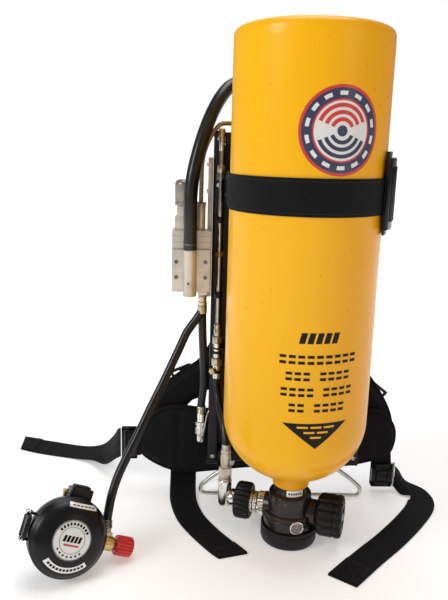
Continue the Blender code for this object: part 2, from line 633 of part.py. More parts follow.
def build_band():
    """Builds the band round the cylinder and its cam latch on the right."""
    low, high = BAND_LEVEL - BAND_WIDTH / 2, BAND_LEVEL + BAND_WIDTH / 2
    leg = RAIL_FRONT - GAP
    outer = arc_points(BAND_OUTER, math.pi, 2 * math.pi, 25)
    inner = arc_points(GRIP_RADIUS, 2 * math.pi, math.pi, 25)
    points = [(-BAND_OUTER, leg)] + outer + [(BAND_OUTER, leg), (GRIP_RADIUS, leg)] + inner
    points.append((-GRIP_RADIUS, leg))
    add_part("cylinder_band", outline_mesh("cylinder_band", points, low, high), BLACK_METAL)

    base_inner = BAND_OUTER + GAP
    base_outer = base_inner + LATCH_BASE_THICKNESS
    lever_low, lever_high = LATCH_LEVEL - LATCH_HEIGHT / 2, LATCH_LEVEL + LATCH_HEIGHT / 2
    lug_height = 0.0060
    base_low = lever_low - RUNNING_GAP - lug_height
    base_high = lever_high + RUNNING_GAP + lug_height
    base_end = LATCH_PIN_Y + 0.0060
    front = LATCH_FRONT_ANGLE + math.radians(5)
    points = beside_band(base_outer, front, base_end) + beside_band(base_inner, front, base_end)[::-1]
    base = add_part("latch_base", outline_mesh("latch_base", points, base_low, base_high), BLACK_METAL)
    pin_x, pin_y = LATCH_PIN_REACH, LATCH_PIN_Y
    for name, low in (("lower", base_low), ("upper", lever_high + RUNNING_GAP)):
        points = arc_points(LATCH_LUG_RADIUS, 0, 2 * math.pi, 17, (pin_x, pin_y))[:-1]
        lug = outline_mesh(f"latch_lug_{name}", points, low, low + lug_height)
        clear_high = (base_inner, 0.060, low + 0.009)
        clear = box_mesh(f"latch_lug_clear_{name}", (0.080, 0.0, low - 0.001), clear_high)
        combined(base, add_cutter(f"latch_lug_{name}", lug), "UNION")
        combined(base, add_cutter(f"latch_lug_clear_{name}", clear), "DIFFERENCE")
    bore_place = (pin_x, pin_y, 0)
    bore = rod_mesh("latch_pin_bore", LATCH_PIN_RADIUS + GAP, 0.380, 0.150, place=bore_place, steps=12)
    bore = add_cutter("latch_pin_bore", bore)
    combined(base, bore, "DIFFERENCE")
    pin = rod_mesh("latch_pin", LATCH_PIN_RADIUS, base_low, base_high - base_low, place=bore_place, steps=12)
    add_part("latch_pin", pin, STEEL)

    lever_outer = LATCH_LEVER_INNER + LATCH_LEVER_THICKNESS
    lever_end = LATCH_PIN_Y - 0.0010
    points = beside_band(lever_outer, LATCH_FRONT_ANGLE, lever_end)
    points += beside_band(LATCH_LEVER_INNER, LATCH_FRONT_ANGLE, lever_end)[::-1]
    points = [(x - pin_x, y - pin_y) for x, y in points]
    lever = outline_mesh("latch_lever", points, lever_low, lever_high)
    lever = add_part("latch_lever", lever, BLACK_PLASTIC)
    lever.location = (pin_x, pin_y, 0)
    points = arc_points(LATCH_KNUCKLE_RADIUS, 0, 2 * math.pi, 17, (pin_x, pin_y))[:-1]
    knuckle = outline_mesh("latch_knuckle", points, lever_low, lever_high)
    combined(lever, add_cutter("latch_knuckle", knuckle), "UNION")
    combined(lever, bore, "DIFFERENCE")


# ---------------------------------------------------------------- pressure reducer
def build_reducer():
    """Builds the stepped reducer, its cover, bonnet, piston, spring and outlet fitting."""
    mesh = box_mesh("reducer_plate", (-RAIL_OUTER - GAP - 0.0063, REDUCER_BACK + GAP, 0.300),
                    (-RAIL_OUTER - GAP, RAIL_BACK - 0.001, 0.483))
    bevelled(add_part("reducer_plate", mesh, BEIGE), 0.001, 1)
    mesh = box_mesh("reducer_body", (REDUCER_LEFT, REDUCER_FRONT, REDUCER_BOTTOM),
                    (REDUCER_RIGHT, REDUCER_BACK, REDUCER_SHOULDER))
    body = bevelled(add_part("reducer_body", mesh, BEIGE), 0.0012, 1)
    step_left = REDUCER_LEFT + 0.0030
    middle = REDUCER_SHOULDER + 0.0170
    steps = (
        ("middle", (step_left, BOSS_Y + GAUGE_HOSE_RADIUS + 0.001, REDUCER_SHOULDER - 0.002),
         (BOSS_X + 0.0075, REDUCER_BACK, middle)),
        ("top", (step_left + 0.0025, BOSS_Y + GAUGE_HOSE_RADIUS + 0.002, middle - 0.002),
         (BOSS_X + 0.0060, REDUCER_BACK - 0.001, REDUCER_TOP)),
    )
    for name, low, high in steps:
        step = box_mesh(f"reducer_step_{name}", low, high)
        combined(body, add_cutter(f"reducer_step_{name}", step), "UNION")
    column_low = REDUCER_SHOULDER - 0.002
    column_length = REDUCER_TOP + 0.0015 - column_low
    column_place = (COLUMN_X, COLUMN_Y, 0)
    column = rod_mesh("reducer_column", COLUMN_RADIUS, column_low, column_length, place=column_place, steps=16)
    combined(body, add_cutter("reducer_column", column), "UNION")
    relief = rod_mesh("hose_relief", GAUGE_HOSE_RADIUS + 0.0010, COVER_TOP, 0.060, place=(BOSS_X, BOSS_Y, 0))
    combined(body, add_cutter("hose_relief", relief), "DIFFERENCE")
    bore_floor = REDUCER_TOP - 0.0780
    bonnet_place = (BONNET_X, BONNET_Y, 0)
    bore = rod_mesh("piston_bore", PISTON_BORE_RADIUS, bore_floor, 0.1, place=bonnet_place, steps=16)
    combined(body, add_cutter("piston_bore", bore), "DIFFERENCE")
    piston = rod_mesh("reducer_piston", PISTON_BORE_RADIUS - GAP, 0, 0.0150, steps=16)
    piston = add_part("reducer_piston", piston, BRASS)
    piston.location = (BONNET_X, BONNET_Y, bore_floor + 0.0020)
    spring_low = bore_floor + 0.0020 + 0.0150 + 0.0022
    wire = 0.0008
    points = coil_points(PISTON_BORE_RADIUS - 2 * wire, spring_low + wire, REDUCER_TOP - wire - GAP, 6)
    spring = add_part("reducer_spring", tube_curve("reducer_spring", points, wire, 1), STEEL)
    spring.location = (BONNET_X, BONNET_Y, 0)
    low = REDUCER_TOP + GAP
    high = low + BONNET_HEIGHT
    dome = [(BONNET_RADIUS * math.cos(a), high - 0.006 + 0.006 * math.sin(a))
            for a in (math.radians(d) for d in (65, 40, 18, 0))]
    profile = [(0, high)] + dome + [(BONNET_RADIUS, low), (0, low)]
    add_part("reducer_bonnet", turned_mesh("reducer_bonnet", profile, 20, place=bonnet_place), BEIGE)

    inset = 0.0002
    front = REDUCER_FRONT - GAP - COVER_THICKNESS
    mesh = box_mesh("reducer_cover", (REDUCER_LEFT + inset, front, REDUCER_BOTTOM),
                    (REDUCER_RIGHT - inset, REDUCER_FRONT - GAP, COVER_TOP))
    cover = bevelled(add_part("reducer_cover", mesh, BEIGE), 0.001, 1)
    boss_low = REDUCER_BOTTOM - BOSS_DROP
    boss = rod_mesh("cover_boss", BOSS_RADIUS, boss_low, COVER_TOP - boss_low, place=(BOSS_X, BOSS_Y, 0))
    trim_front = (REDUCER_LEFT, REDUCER_FRONT - GAP, REDUCER_BOTTOM - 0.02)
    trim = box_mesh("cover_boss_trim", trim_front, (REDUCER_RIGHT, REDUCER_BACK, COVER_TOP + 0.02))
    combined(cover, add_cutter("cover_boss", boss), "UNION")
    combined(cover, add_cutter("cover_boss_trim", trim), "DIFFERENCE")

    flange_top = REDUCER_BOTTOM - GAP
    mesh = box_mesh("outlet_fitting", (FITTING_X - 0.0062, REDUCER_FRONT + 0.001, flange_top - 0.005),
                    (FITTING_X + 0.0062, REDUCER_BACK - 0.001, flange_top))
    fitting = add_part("outlet_fitting", mesh, BRASS)
    for name, y in zip(("front", "back"), FITTING_YS):
        length = flange_top - 0.001 - FITTING_BOTTOM
        rod = rod_mesh(f"fitting_{name}", 0.0057, FITTING_BOTTOM, length, place=(FITTING_X, y, 0), steps=16)
        combined(fitting, add_cutter(f"fitting_{name}", rod), "UNION")


# ---------------------------------------------------------------- lines and hoses
def beside_dome(clearance, degrees):
    """Returns the place this far outside the cylinder's wall, at an angle round its axis."""
    angle = math.radians(degrees)
    reach = CYLINDER_RADIUS + clearance
    return reach * math.cos(angle), reach * math.sin(angle)


def build_lines():
    """Builds the rigid air lines and the hoses between them, along their real routes."""
    place = (SUPPLY_X, SUPPLY_Y, 0)
    profile = [
        (0, 0.2560), (0.0045, 0.2560), (0.0045, 0.2480), (0.0072, 0.2470), (0.0072, 0.2370), (0.0052, 0.2360),
        (0.0052, 0.2170), (0.0074, 0.2160), (0.0074, 0.2060), (0.0055, 0.2050), (0.0055, 0.1870), (0, 0.1870),
    ]
    add_part("supply_relief_valve", turned_mesh("supply_relief_valve", profile, 16, place=place), CHROME)
    line_low = 0.5215
    tip = line_low - 0.0025
    profile = [
        (0, tip), (0.0040, tip), (0.0032, 0.4920), (0.0026, 0.4910), (0.0026, 0.4745), (0.0060, 0.4740),
        (0.0060, 0.4550), (0.0026, 0.4545), (0.0026, 0.2560 + GAP), (0, 0.2560 + GAP),
    ]
    add_part("supply_tube", turned_mesh("supply_tube", profile, 12, place=place), STEEL)

    column_top = REDUCER_TOP + 0.0015 + GAP
    whistle_left = -0.0655
    whistle_y = RAIL_CENTRE_Y
    whistle_radius = 0.0090
    whistle_level = RAIL_TOP + GAP + whistle_radius
    keys = [
        (COLUMN_X, COLUMN_Y, column_top), (COLUMN_X, COLUMN_Y, column_top + 0.010),
        (COLUMN_X + 0.0002, COLUMN_Y + 0.0020, 0.4550), (COLUMN_X + 0.0008, COLUMN_Y + 0.0055, 0.4780),
        (COLUMN_X + 0.0050, COLUMN_Y + 0.0105, 0.4960), (SUPPLY_X - 0.0118, SUPPLY_Y + 0.0016, 0.5130),
        (SUPPLY_X - 0.0020, SUPPLY_Y + 0.0030, line_low + LINE_RADIUS),
        (SUPPLY_X + 0.0110, SUPPLY_Y + 0.0096, 0.5258),
        (whistle_left - 0.008, whistle_y, whistle_level), (whistle_left - GAP, whistle_y, whistle_level),
    ]
    line = tube_curve("alarm_line", hose_route(keys, 0.010), LINE_RADIUS)
    add_part("alarm_line", line, COPPER)
    profile = [
        (0, 0.040), (0.0070, 0.040), (whistle_radius, 0.037), (whistle_radius, 0.010), (0.0055, 0.009),
        (0.0055, 0), (0, 0),
    ]
    whistle = turned_mesh("low_air_whistle", profile, 16, (1, 0, 0), (whistle_left, whistle_y, whistle_level))
    add_part("low_air_whistle", whistle, BRASS)

    elbow = Matrix.Rotation(VALVE_TURN, 4, "Z") @ Vector((-ELBOW_REACH, 0, 0))
    keys = [
        (elbow.x, elbow.y, 0.1100 + GAP), (elbow.x, elbow.y, 0.1170),
        (*beside_dome(0.0078, 154.3), 0.1380), (*beside_dome(0.0254, 144.8), 0.1550),
        (SUPPLY_X, SUPPLY_Y, 0.1780), (SUPPLY_X, SUPPLY_Y, 0.1870 - GAP),
    ]
    hose = tube_curve("high_pressure_hose", hose_route(keys, 0.012), 0.0050)
    add_part("high_pressure_hose", hose, BLACK_RUBBER)

    keys = [
        (FITTING_X, FITTING_YS[1], FITTING_BOTTOM - GAP), (FITTING_X, FITTING_YS[1], 0.2860),
        (-RAIL_OUTER - 0.0100, RAIL_FRONT - 0.0100, 0.2500),
        (-RAIL_OUTER - 0.0080, RAIL_FRONT - 0.0020, 0.2100),
        (-RAIL_OUTER - 0.0075, RAIL_FRONT + 0.0060, 0.1700),
        (CONNECTOR_X, CONNECTOR_Y, 0.1420), (CONNECTOR_X, CONNECTOR_Y, CONNECTOR_TOP + GAP),
    ]
    hose = tube_curve("accessory_hose", hose_route(keys, 0.024), HOSE_RADIUS)
    add_part("accessory_hose", hose, BLACK_RUBBER)
    drop = CONNECTOR_TOP - 0.043
    profile = [
        (0, CONNECTOR_TOP), (0.0062, CONNECTOR_TOP),
        (0.0062, CONNECTOR_TOP - 0.012), (0.0080, CONNECTOR_TOP - 0.013),
        (0.0080, drop + 0.012), (0.0066, drop + 0.010), (0.0066, drop), (0, drop),
    ]
    place = (CONNECTOR_X, CONNECTOR_Y, 0)
    add_part("accessory_connector", turned_mesh("accessory_connector", profile, 16, place=place), CHROME)

    start = COVER_TOP + GAP
    gauge_top = 0.4640
    keys = [
        (BOSS_X, BOSS_Y, start), (BOSS_X, BOSS_Y, 0.3950), (BOSS_X - 0.0005, BOSS_Y + 0.0005, 0.4250),
        (-0.1340, 0.0590, 0.4560), (-0.1285, 0.0660, 0.4840), (-0.1210, 0.0745, 0.5110),
        (-0.1110, 0.0870, 0.5380), (-0.0970, 0.1030, 0.5630), (-0.0820, 0.1220, 0.5770),
        (-0.0680, 0.1430, 0.5765), (-0.0570, 0.1630, 0.5590),
        (-0.0510, 0.1770, 0.5310), (-0.0490, 0.1860, 0.5000), (-0.0490, 0.1885, gauge_top + 0.012),
        (-0.0490, 0.1885, gauge_top + GAP),
    ]
    add_part("gauge_hose", tube_curve("gauge_hose", hose_route(keys, 0.022), GAUGE_HOSE_RADIUS), BLACK_RUBBER)
    build_shoulder_gauge(Vector((-0.0490, 0.1885, gauge_top)))


def build_shoulder_gauge(top):
    """Builds the round pressure gauge that hangs on the left shoulder strap, facing the wearer."""
    radius = 0.0240
    half_depth = 0.0110
    recess = 0.0040
    rim = 0.0020
    axis = (0, 1, 0)
    place = (top.x, top.y, top.z - radius - 0.0040)
    profile = [
        (0, half_depth - recess), (radius - rim, half_depth - recess), (radius - rim, half_depth),
        (radius, half_depth), (radius, -half_depth), (0, -half_depth),
    ]
    case = turned_mesh("shoulder_gauge_case", profile, 24, axis, place)
    neck = rod_mesh("shoulder_gauge_neck", 0.0070, -0.012, 0.012, place=top, steps=12)
    case = add_part("shoulder_gauge_case", case, BLACK_RUBBER)
    combined(case, add_cutter("shoulder_gauge_neck", neck), "UNION")
    reach = radius - rim - 0.0020
    mesh = box_mesh("shoulder_gauge_pointer", (-0.0008, -0.005, 0), (0.0008, reach, 0.0008))
    pointer = add_part("shoulder_gauge_pointer", mesh, RED)
    centre = Vector(place) + Vector(axis) * (half_depth - recess + RUNNING_GAP)
    pointer.matrix_world = Matrix.Translation(centre) @ turn_matrix(axis)


# ---------------------------------------------------------------- mask regulator
def regulator_matrix():
    """Returns the regulator's own frame: X towards its inlet, Y up its face, Z out of its cover."""
    turn = Matrix.Rotation(REGULATOR_TURN, 4, "Z")
    lean = Matrix.Rotation(math.pi / 2 - REGULATOR_TILT, 4, "X")
    roll = Matrix.Rotation(-REGULATOR_ROLL, 4, "Z")
    return Matrix.Translation(REGULATOR_CENTRE) @ turn @ lean @ roll


def build_regulator():
    """Builds the regulator: housing, cover, diaphragm, valve lever, spigot, controls and inlet."""
    frame = add_empty("regulator_frame", regulator_matrix())
    outer = REGULATOR_RADIUS - 0.0010
    inner = outer - REGULATOR_WALL
    back = -HOUSING_DEPTH
    throat = MASK_SPIGOT_RADIUS - REGULATOR_WALL
    inlet_z = -0.0100
    front = 0.0020
    profile = [
        (outer, front), (outer, back + 0.004), (outer - 0.004, back), (throat, back),
        (throat, back + REGULATOR_WALL), (inner - 0.003, back + REGULATOR_WALL), (inner, back + 0.006),
        (inner, front),
    ]
    housing = turned_mesh("regulator_housing", profile, 32)
    housing = add_part("regulator_housing", housing, BLACK_PLASTIC, frame)
    block_top = REGULATOR_RADIUS + AIR_SAVER_RISE
    block_low = (-0.0100, outer - 0.0045, back + 0.002)
    block = box_mesh("air_saver_block", block_low, (0.0160, block_top, front - 0.002))
    combined(housing, add_cutter("air_saver_block", block, frame), "UNION")
    button_low = (-0.0070, block_top - 0.0035, -0.0170)
    button_high = (0.0130, block_top + 0.0035, -0.0030)
    travel = 0.0030
    pocket_low = [value - RUNNING_GAP for value in button_low]
    pocket_low[1] -= travel
    pocket_high = [value + RUNNING_GAP for value in button_high]
    pocket = box_mesh("button_pocket", pocket_low, pocket_high)
    combined(housing, add_cutter("button_pocket", pocket, frame), "DIFFERENCE")
    bore_start = REGULATOR_RADIUS - 0.0155
    inlet_bore = rod_mesh("inlet_bore", INLET_RADIUS + GAP, bore_start, 0.030, (1, 0, 0), (0, 0, inlet_z), 16)
    combined(housing, add_cutter("inlet_bore", inlet_bore, frame), "DIFFERENCE")
    button = box_mesh("air_saver_button", button_low, button_high)
    bevelled(add_part("air_saver_button", button, BLACK_RUBBER, frame), 0.001, 1)

    rim_low = front + GAP
    top = rim_low + COVER_RISE
    wall = 0.0020
    outside = [(0, top), (0.0200, top - 0.0008), (0.0320, top - 0.0040), (0.0400, top - 0.0085),
               (0.0440, top - 0.0130), (REGULATOR_RADIUS, rim_low + 0.0030), (REGULATOR_RADIUS, rim_low)]
    inside = [(inner, rim_low), (inner - 0.0005, rim_low + 0.0040), (0.0385, top - 0.0085 - wall),
              (0.0310, top - 0.0040 - wall), (0.0195, top - 0.0008 - wall), (0, top - wall)]
    cover = turned_mesh("regulator_cover", outside + inside, 32)
    add_part("regulator_cover", cover, BLACK_PLASTIC, frame)

    disc_low = 0.0
    profile = [
        (0, disc_low + 0.0012), (0.0180, disc_low + 0.0012), (0.0230, disc_low + 0.0030),
        (0.0300, disc_low + 0.0012), (inner - 0.0030, disc_low + 0.0012), (inner - 0.0030, disc_low),
        (0, disc_low),
    ]
    disc = add_part("diaphragm", turned_mesh("diaphragm", profile, 24), DARK_RUBBER, frame)
    disc.location = (0, 0, 0.0010)
    lever = box_mesh("demand_lever", (-0.0300, -0.0025, -0.0006), (0.0, 0.0025, 0.0006))
    lever = add_part("demand_lever", lever, STEEL, frame)
    lever.location = (inner - 0.0085, 0, -0.0040)
    pad = box_mesh("demand_lever_pad", (-0.0300, -0.0020, 0.0), (-0.0265, 0.0020, 0.0047))
    pad = add_cutter("demand_lever_pad", pad, frame)
    pad.location = lever.location
    combined(lever, pad, "UNION")

    spigot_low = back - GAP - MASK_SPIGOT_LENGTH
    flange = 0.0040
    profile = [
        (throat, back - GAP), (MASK_SPIGOT_RADIUS + 0.0060, back - GAP),
        (MASK_SPIGOT_RADIUS + 0.0060, back - flange),
        (MASK_SPIGOT_RADIUS, back - flange), (MASK_SPIGOT_RADIUS, spigot_low), (throat, spigot_low),
    ]
    add_part("mask_spigot", turned_mesh("mask_spigot", profile, 24), BLACK_PLASTIC, frame)

    profile = [
        (0, PURGE_KNOB_LENGTH), (PURGE_KNOB_RADIUS - 0.0015, PURGE_KNOB_LENGTH),
        (PURGE_KNOB_RADIUS, PURGE_KNOB_LENGTH - 0.0020), (PURGE_KNOB_RADIUS, 0.0020),
        (PURGE_KNOB_RADIUS - 0.0015, 0), (0, 0),
    ]
    knob = add_part("purge_knob", turned_mesh("purge_knob", profile, 16, (1, 0, 0)), RED, frame)
    knob.location = (PURGE_KNOB_START, 0, inlet_z)
    knob_side = PURGE_KNOB_START - RUNNING_GAP
    collar = REGULATOR_RADIUS + 0.0015
    inner_end = REGULATOR_RADIUS - 0.0095
    profile = [
        (0, knob_side), (0.0065, knob_side), (0.0065, collar + 0.0130), (0.0088, collar + 0.0120),
        (0.0088, collar),
        (INLET_RADIUS, collar - 0.0008), (INLET_RADIUS, inner_end), (0, inner_end),
    ]
    inlet = turned_mesh("inlet_fitting", profile, 16, (1, 0, 0), (0, 0, inlet_z))
    inlet = add_part("inlet_fitting", inlet, BRASS, frame)
    middle = frame.matrix_world @ Vector((REGULATOR_RADIUS + 0.0080, 0, inlet_z))
    nipple = rod_mesh("inlet_nipple", 0.0050, 0.002, NIPPLE_LENGTH - 0.002, NIPPLE_AXIS, middle, 12)
    combined(inlet, add_cutter("inlet_nipple", nipple), "UNION")

    pin_x = -outer - 0.0050
    pin_z = -0.0100
    half = 0.0160
    pin = rod_mesh("release_pin", 0.0030, -half, 2 * half, (0, 1, 0), (pin_x, 0.0030, pin_z), 12)
    add_part("release_pin", pin, CHROME, frame)
    sleeve = ring_profile(0.0030 + GAP, 0.0045, -half + 0.004, half - 0.004)
    mesh = turned_mesh("release_lever", sleeve, 16, (0, 1, 0))
    lever = add_part("release_lever", mesh, BLACK_PLASTIC, frame)
    lever.location = (pin_x, 0.0030, pin_z)
    tab = box_mesh("release_tab", (pin_x - 0.0030, -half + 0.0070, pin_z + 0.0036),
                   (pin_x + 0.0020, half - 0.0010, pin_z + 0.0140))
    combined(lever, add_cutter("release_tab", tab, frame), "UNION")
    route_regulator_hose(middle)


def route_regulator_hose(middle):
    """Builds the hose from the reducer's front outlet down to the regulator's inlet."""
    axis = NIPPLE_AXIS.normalized()
    keys = [
        (FITTING_X, FITTING_YS[0], FITTING_BOTTOM - GAP), (FITTING_X, FITTING_YS[0], 0.2870),
        (-0.1270, 0.0660, 0.2740), (-0.1382, 0.0620, 0.2585), (-0.1487, 0.0560, 0.2355),
        (-0.1673, 0.0410, 0.1962), (-0.1832, 0.0250, 0.1649), (-0.1996, 0.0060, 0.1313),
        (-0.2116, -0.0080, 0.1085), (-0.2202, -0.0200, 0.0901), (-0.2263, -0.0310, 0.0695),
        middle + axis * (NIPPLE_LENGTH + 0.012), middle + axis * (NIPPLE_LENGTH + GAP),
    ]
    hose = tube_curve("regulator_hose", hose_route(keys, 0.024), HOSE_RADIUS)
    add_part("regulator_hose", hose, BLACK_RUBBER)


# ---------------------------------------------------------------- harness
def pad_mesh(name, keys, centre_y):
    """Returns a flat pad, its outline in the XZ plane read from a smooth closed curve."""
    closed = keys + keys[:3]
    points = [spline_point(closed, 1 + i / 2)[:2] for i in range(2 * len(keys))]
    upright = Matrix.Translation((0, centre_y + PAD_THICKNESS / 2, 0)) @ Matrix.Rotation(math.pi / 2, 4, "X")
    return outline_mesh(name, points, 0, PAD_THICKNESS, upright)


def shoulder_keys(side, lower):
    """Returns the route of a shoulder strap, down behind the back plate and out to its own side."""
    face_on = (1.0, 0.0, 0.0)
    top = PLATE_TOP - 0.020
    upper = [
        ((side * 0.054, SHOULDER_CENTRE_Y - 0.0135, top), face_on, SHOULDER_PAD_WIDTH),
        ((side * 0.054, SHOULDER_CENTRE_Y - 0.0060, top - 0.030), face_on, SHOULDER_PAD_WIDTH),
        ((side * 0.055, SHOULDER_CENTRE_Y + 0.0100, top - 0.070), face_on, SHOULDER_PAD_WIDTH),
        ((side * 0.057, SHOULDER_CENTRE_Y + 0.0180, top - 0.120), face_on, SHOULDER_PAD_WIDTH),
        ((side * 0.060, SHOULDER_CENTRE_Y + 0.0160, top - 0.180), face_on, SHOULDER_PAD_WIDTH),
        ((side * 0.068, SHOULDER_CENTRE_Y + 0.0080, top - 0.230), (0.97, 0.0, 0.24 * side), 0.056),
    ]
    return upper + [((side * x, SHOULDER_CENTRE_Y, z), (ax, 0.0, az * side), w) for x, z, ax, az, w in lower]


def build_harness():
    """Builds the straps, pads and buckle, lying as they fall round the standing apparatus."""
    lower_left = [
        (0.083, 0.218, 0.80, 0.60, 0.050), (0.110, 0.180, 0.45, 0.89, 0.046),
        (0.140, 0.158, 0.40, 0.91, 0.046), (0.166, 0.130, 0.85, 0.52, 0.046),
        (0.176, 0.092, 1.00, 0.10, 0.046),
    ]
    strap("shoulder_strap_left", shoulder_keys(-1, lower_left), SHOULDER_PAD_THICKNESS, BLACK_FABRIC, 30)
    lower_right = [
        (0.082, 0.214, 0.80, 0.60, 0.050), (0.104, 0.172, 0.62, 0.78, 0.046),
        (0.127, 0.138, 0.62, 0.78, 0.046),
        (0.142, 0.104, 0.97, 0.25, 0.044), (0.143, 0.072, 1.00, -0.05, 0.044),
    ]
    strap("shoulder_strap_right", shoulder_keys(1, lower_right), SHOULDER_PAD_THICKNESS, BLACK_FABRIC, 30)

    outline = [
        (0.0, 0.128), (-0.060, 0.124), (-0.110, 0.126), (-0.155, 0.130), (-0.185, 0.120), (-0.204, 0.090),
        (-0.208, 0.060), (-0.180, 0.038), (-0.145, 0.028), (-0.100, 0.031), (-0.050, 0.036), (0.0, 0.035),
        (0.050, 0.037), (0.100, 0.042), (0.135, 0.050), (0.158, 0.057), (0.168, 0.080), (0.164, 0.108),
        (0.140, 0.128), (0.100, 0.127), (0.050, 0.125),
    ]
    add_part("waist_pad", pad_mesh("waist_pad", outline, PAD_CENTRE_Y), BLACK_FABRIC)

    tongue_left = -0.2330
    tongue_low = (tongue_left, PAD_CENTRE_Y - 0.004, 0.048)
    mesh = box_mesh("buckle_tongue", tongue_low, (-0.2105, PAD_CENTRE_Y + 0.004, 0.096))
    bevelled(add_part("buckle_tongue", mesh, BLACK_PLASTIC), 0.002)
    low = (0.136, PAD_CENTRE_Y - 0.0065, 0.010)
    high = (0.166, PAD_CENTRE_Y + 0.0065, 0.046)
    receptacle = add_part("buckle_receptacle", box_mesh("buckle_receptacle", low, high), BLACK_PLASTIC)
    button_low = (0.143, low[1] - 0.0010, 0.020)
    button_high = (0.159, low[1] + 0.0035, 0.036)
    pocket_low = [value - RUNNING_GAP for value in button_low]
    pocket_high = (button_high[0] + RUNNING_GAP, button_high[1] + 0.0025, button_high[2] + RUNNING_GAP)
    pocket = add_cutter("release_pocket", box_mesh("release_pocket", pocket_low, pocket_high))
    combined(receptacle, pocket, "DIFFERENCE")
    add_part("buckle_button", box_mesh("buckle_button", button_low, button_high), RED)

    flat = STRAP_FLOOR
    keys = [
        ((tongue_left - GAP - 0.002, PAD_CENTRE_Y, 0.072), (0.0, 0.0, 1.0), BELT_WIDTH),
        ((-0.2440, 0.1400, 0.0600), (0.10, 0.25, 0.96), BELT_WIDTH),
        ((-0.2600, 0.1760, 0.0330), (0.20, 0.65, 0.73), BELT_WIDTH),
        ((-0.2820, 0.2100, flat + 0.0115), (0.22, 0.96, 0.16), BELT_WIDTH),
        ((-0.3150, 0.2290, flat + 0.0012), (0.25, 0.97, 0.0), BELT_WIDTH),
        ((-0.3700, 0.2450, flat + 0.0004), (0.25, 0.97, 0.0), BELT_WIDTH),
        ((-0.4180, 0.2620, flat), (-0.10, 0.99, 0.0), BELT_WIDTH),
    ]
    strap("waist_tail_left", keys, WEBBING_THICKNESS, BLACK_FABRIC)
    keys = [
        ((0.1685, PAD_CENTRE_Y, 0.0270), (0.0, 0.20, 0.98), 0.030),
        ((0.1800, PAD_CENTRE_Y + 0.001, 0.0150), (0.05, 0.75, 0.66), WEBBING_WIDTH),
        ((0.1930, 0.1210, flat + 0.0050), (0.10, 0.99, 0.08), WEBBING_WIDTH),
        ((0.2050, 0.1080, flat + 0.0010), (0.80, 0.60, 0.0), WEBBING_WIDTH),
        ((0.2000, 0.0800, flat), (0.93, -0.37, 0.0), WEBBING_WIDTH),
        ((0.1750, 0.0420, flat), (0.80, -0.60, 0.0), WEBBING_WIDTH),
        ((0.1350, -0.0060, flat), (0.72, -0.69, 0.0), WEBBING_WIDTH),
        ((0.0950, -0.0480, flat), (0.68, -0.73, 0.0), WEBBING_WIDTH),
        ((0.0540, -0.0930, flat), (0.80, -0.60, 0.0), WEBBING_WIDTH),
    ]
    strap("waist_tail_right", keys, WEBBING_THICKNESS, BLACK_FABRIC, 32)
    face_on = (1.0, 0.0, 0.0)
    behind = PLATE_BACK + 2 * GAP + PAD_THICKNESS + WEBBING_THICKNESS
    tail_x = -RAIL_OUTER - 0.0350
    keys = [
        ((tail_x, behind, 0.064), face_on, WEBBING_WIDTH),
        ((tail_x, behind + 0.001, 0.038), face_on, WEBBING_WIDTH),
        ((tail_x, behind - 0.006, 0.0150), face_on, WEBBING_WIDTH),
        ((tail_x + 0.0005, behind - 0.026, flat + 0.0050), face_on, WEBBING_WIDTH),
        ((tail_x + 0.0030, 0.0800, flat + 0.0003), (0.99, 0.10, 0.0), WEBBING_WIDTH),
        ((-0.1290, 0.0400, flat), (0.93, 0.37, 0.0), WEBBING_WIDTH),
        ((-0.1110, 0.0060, flat), (0.82, 0.57, 0.0), WEBBING_WIDTH),
        ((-0.0900, -0.0250, flat), (0.82, 0.57, 0.0), WEBBING_WIDTH),
        ((-0.0730, -0.0470, flat), (0.95, 0.30, 0.0), WEBBING_WIDTH),
    ]
    strap("shoulder_tail_left", keys, WEBBING_THICKNESS, BLACK_FABRIC)


# ---------------------------------------------------------------- build
clear_scene()
PARTS = new_collection("breathing_apparatus")
CUTTERS = new_collection("cutters")

YELLOW = material("cylinder_yellow", (0.84, 0.46, 0.02), 0.25)
ALUMINIUM = material("aluminium", (0.62, 0.62, 0.63), 0.40, 1.0)
BEIGE = material("anodised_beige", (0.58, 0.53, 0.46), 0.38, 0.7)
BLACK_METAL = material("black_coated_metal", (0.012, 0.012, 0.014), 0.45, 0.2)
BLACK_PLASTIC = material("black_plastic", (0.012, 0.012, 0.013), 0.35)
BLACK_RUBBER = material("black_rubber", (0.013, 0.013, 0.014), 0.60)
DARK_RUBBER = material("diaphragm_rubber", (0.06, 0.06, 0.07), 0.65)
BLACK_FABRIC = material("black_webbing", (0.010, 0.010, 0.012), 0.85)
VALVE_GREY = material("valve_dark_grey", (0.075, 0.062, 0.058), 0.42, 0.4)
CHROME = material("chrome", (0.72, 0.71, 0.69), 0.16, 1.0)
STEEL = material("steel", (0.55, 0.54, 0.51), 0.30, 1.0)
BRASS = material("brass", (0.58, 0.44, 0.20), 0.32, 1.0)
COPPER = material("copper_braid", (0.50, 0.32, 0.20), 0.40, 0.8)
RED = material("red_plastic", (0.62, 0.02, 0.02), 0.40)

build_cylinder()
build_coupling(build_valve())
build_frame()
build_band()
build_reducer()
build_lines()
build_regulator()
build_harness()
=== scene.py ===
"""Dresses the self-contained breathing apparatus on its fixed frame.

The frame holds the apparatus standing on its valve: +Z up, the cylinder on the -Y side, the wearer's back
on the +Y side, all in metres. Each class below is one sub-assembly, with its sizes as fields.
"""
import logging
import math
from dataclasses import dataclass
from enum import Enum
from typing import Callable, Iterable, Optional, Sequence, Union

import bmesh
import bpy
from mathutils import Matrix, Vector


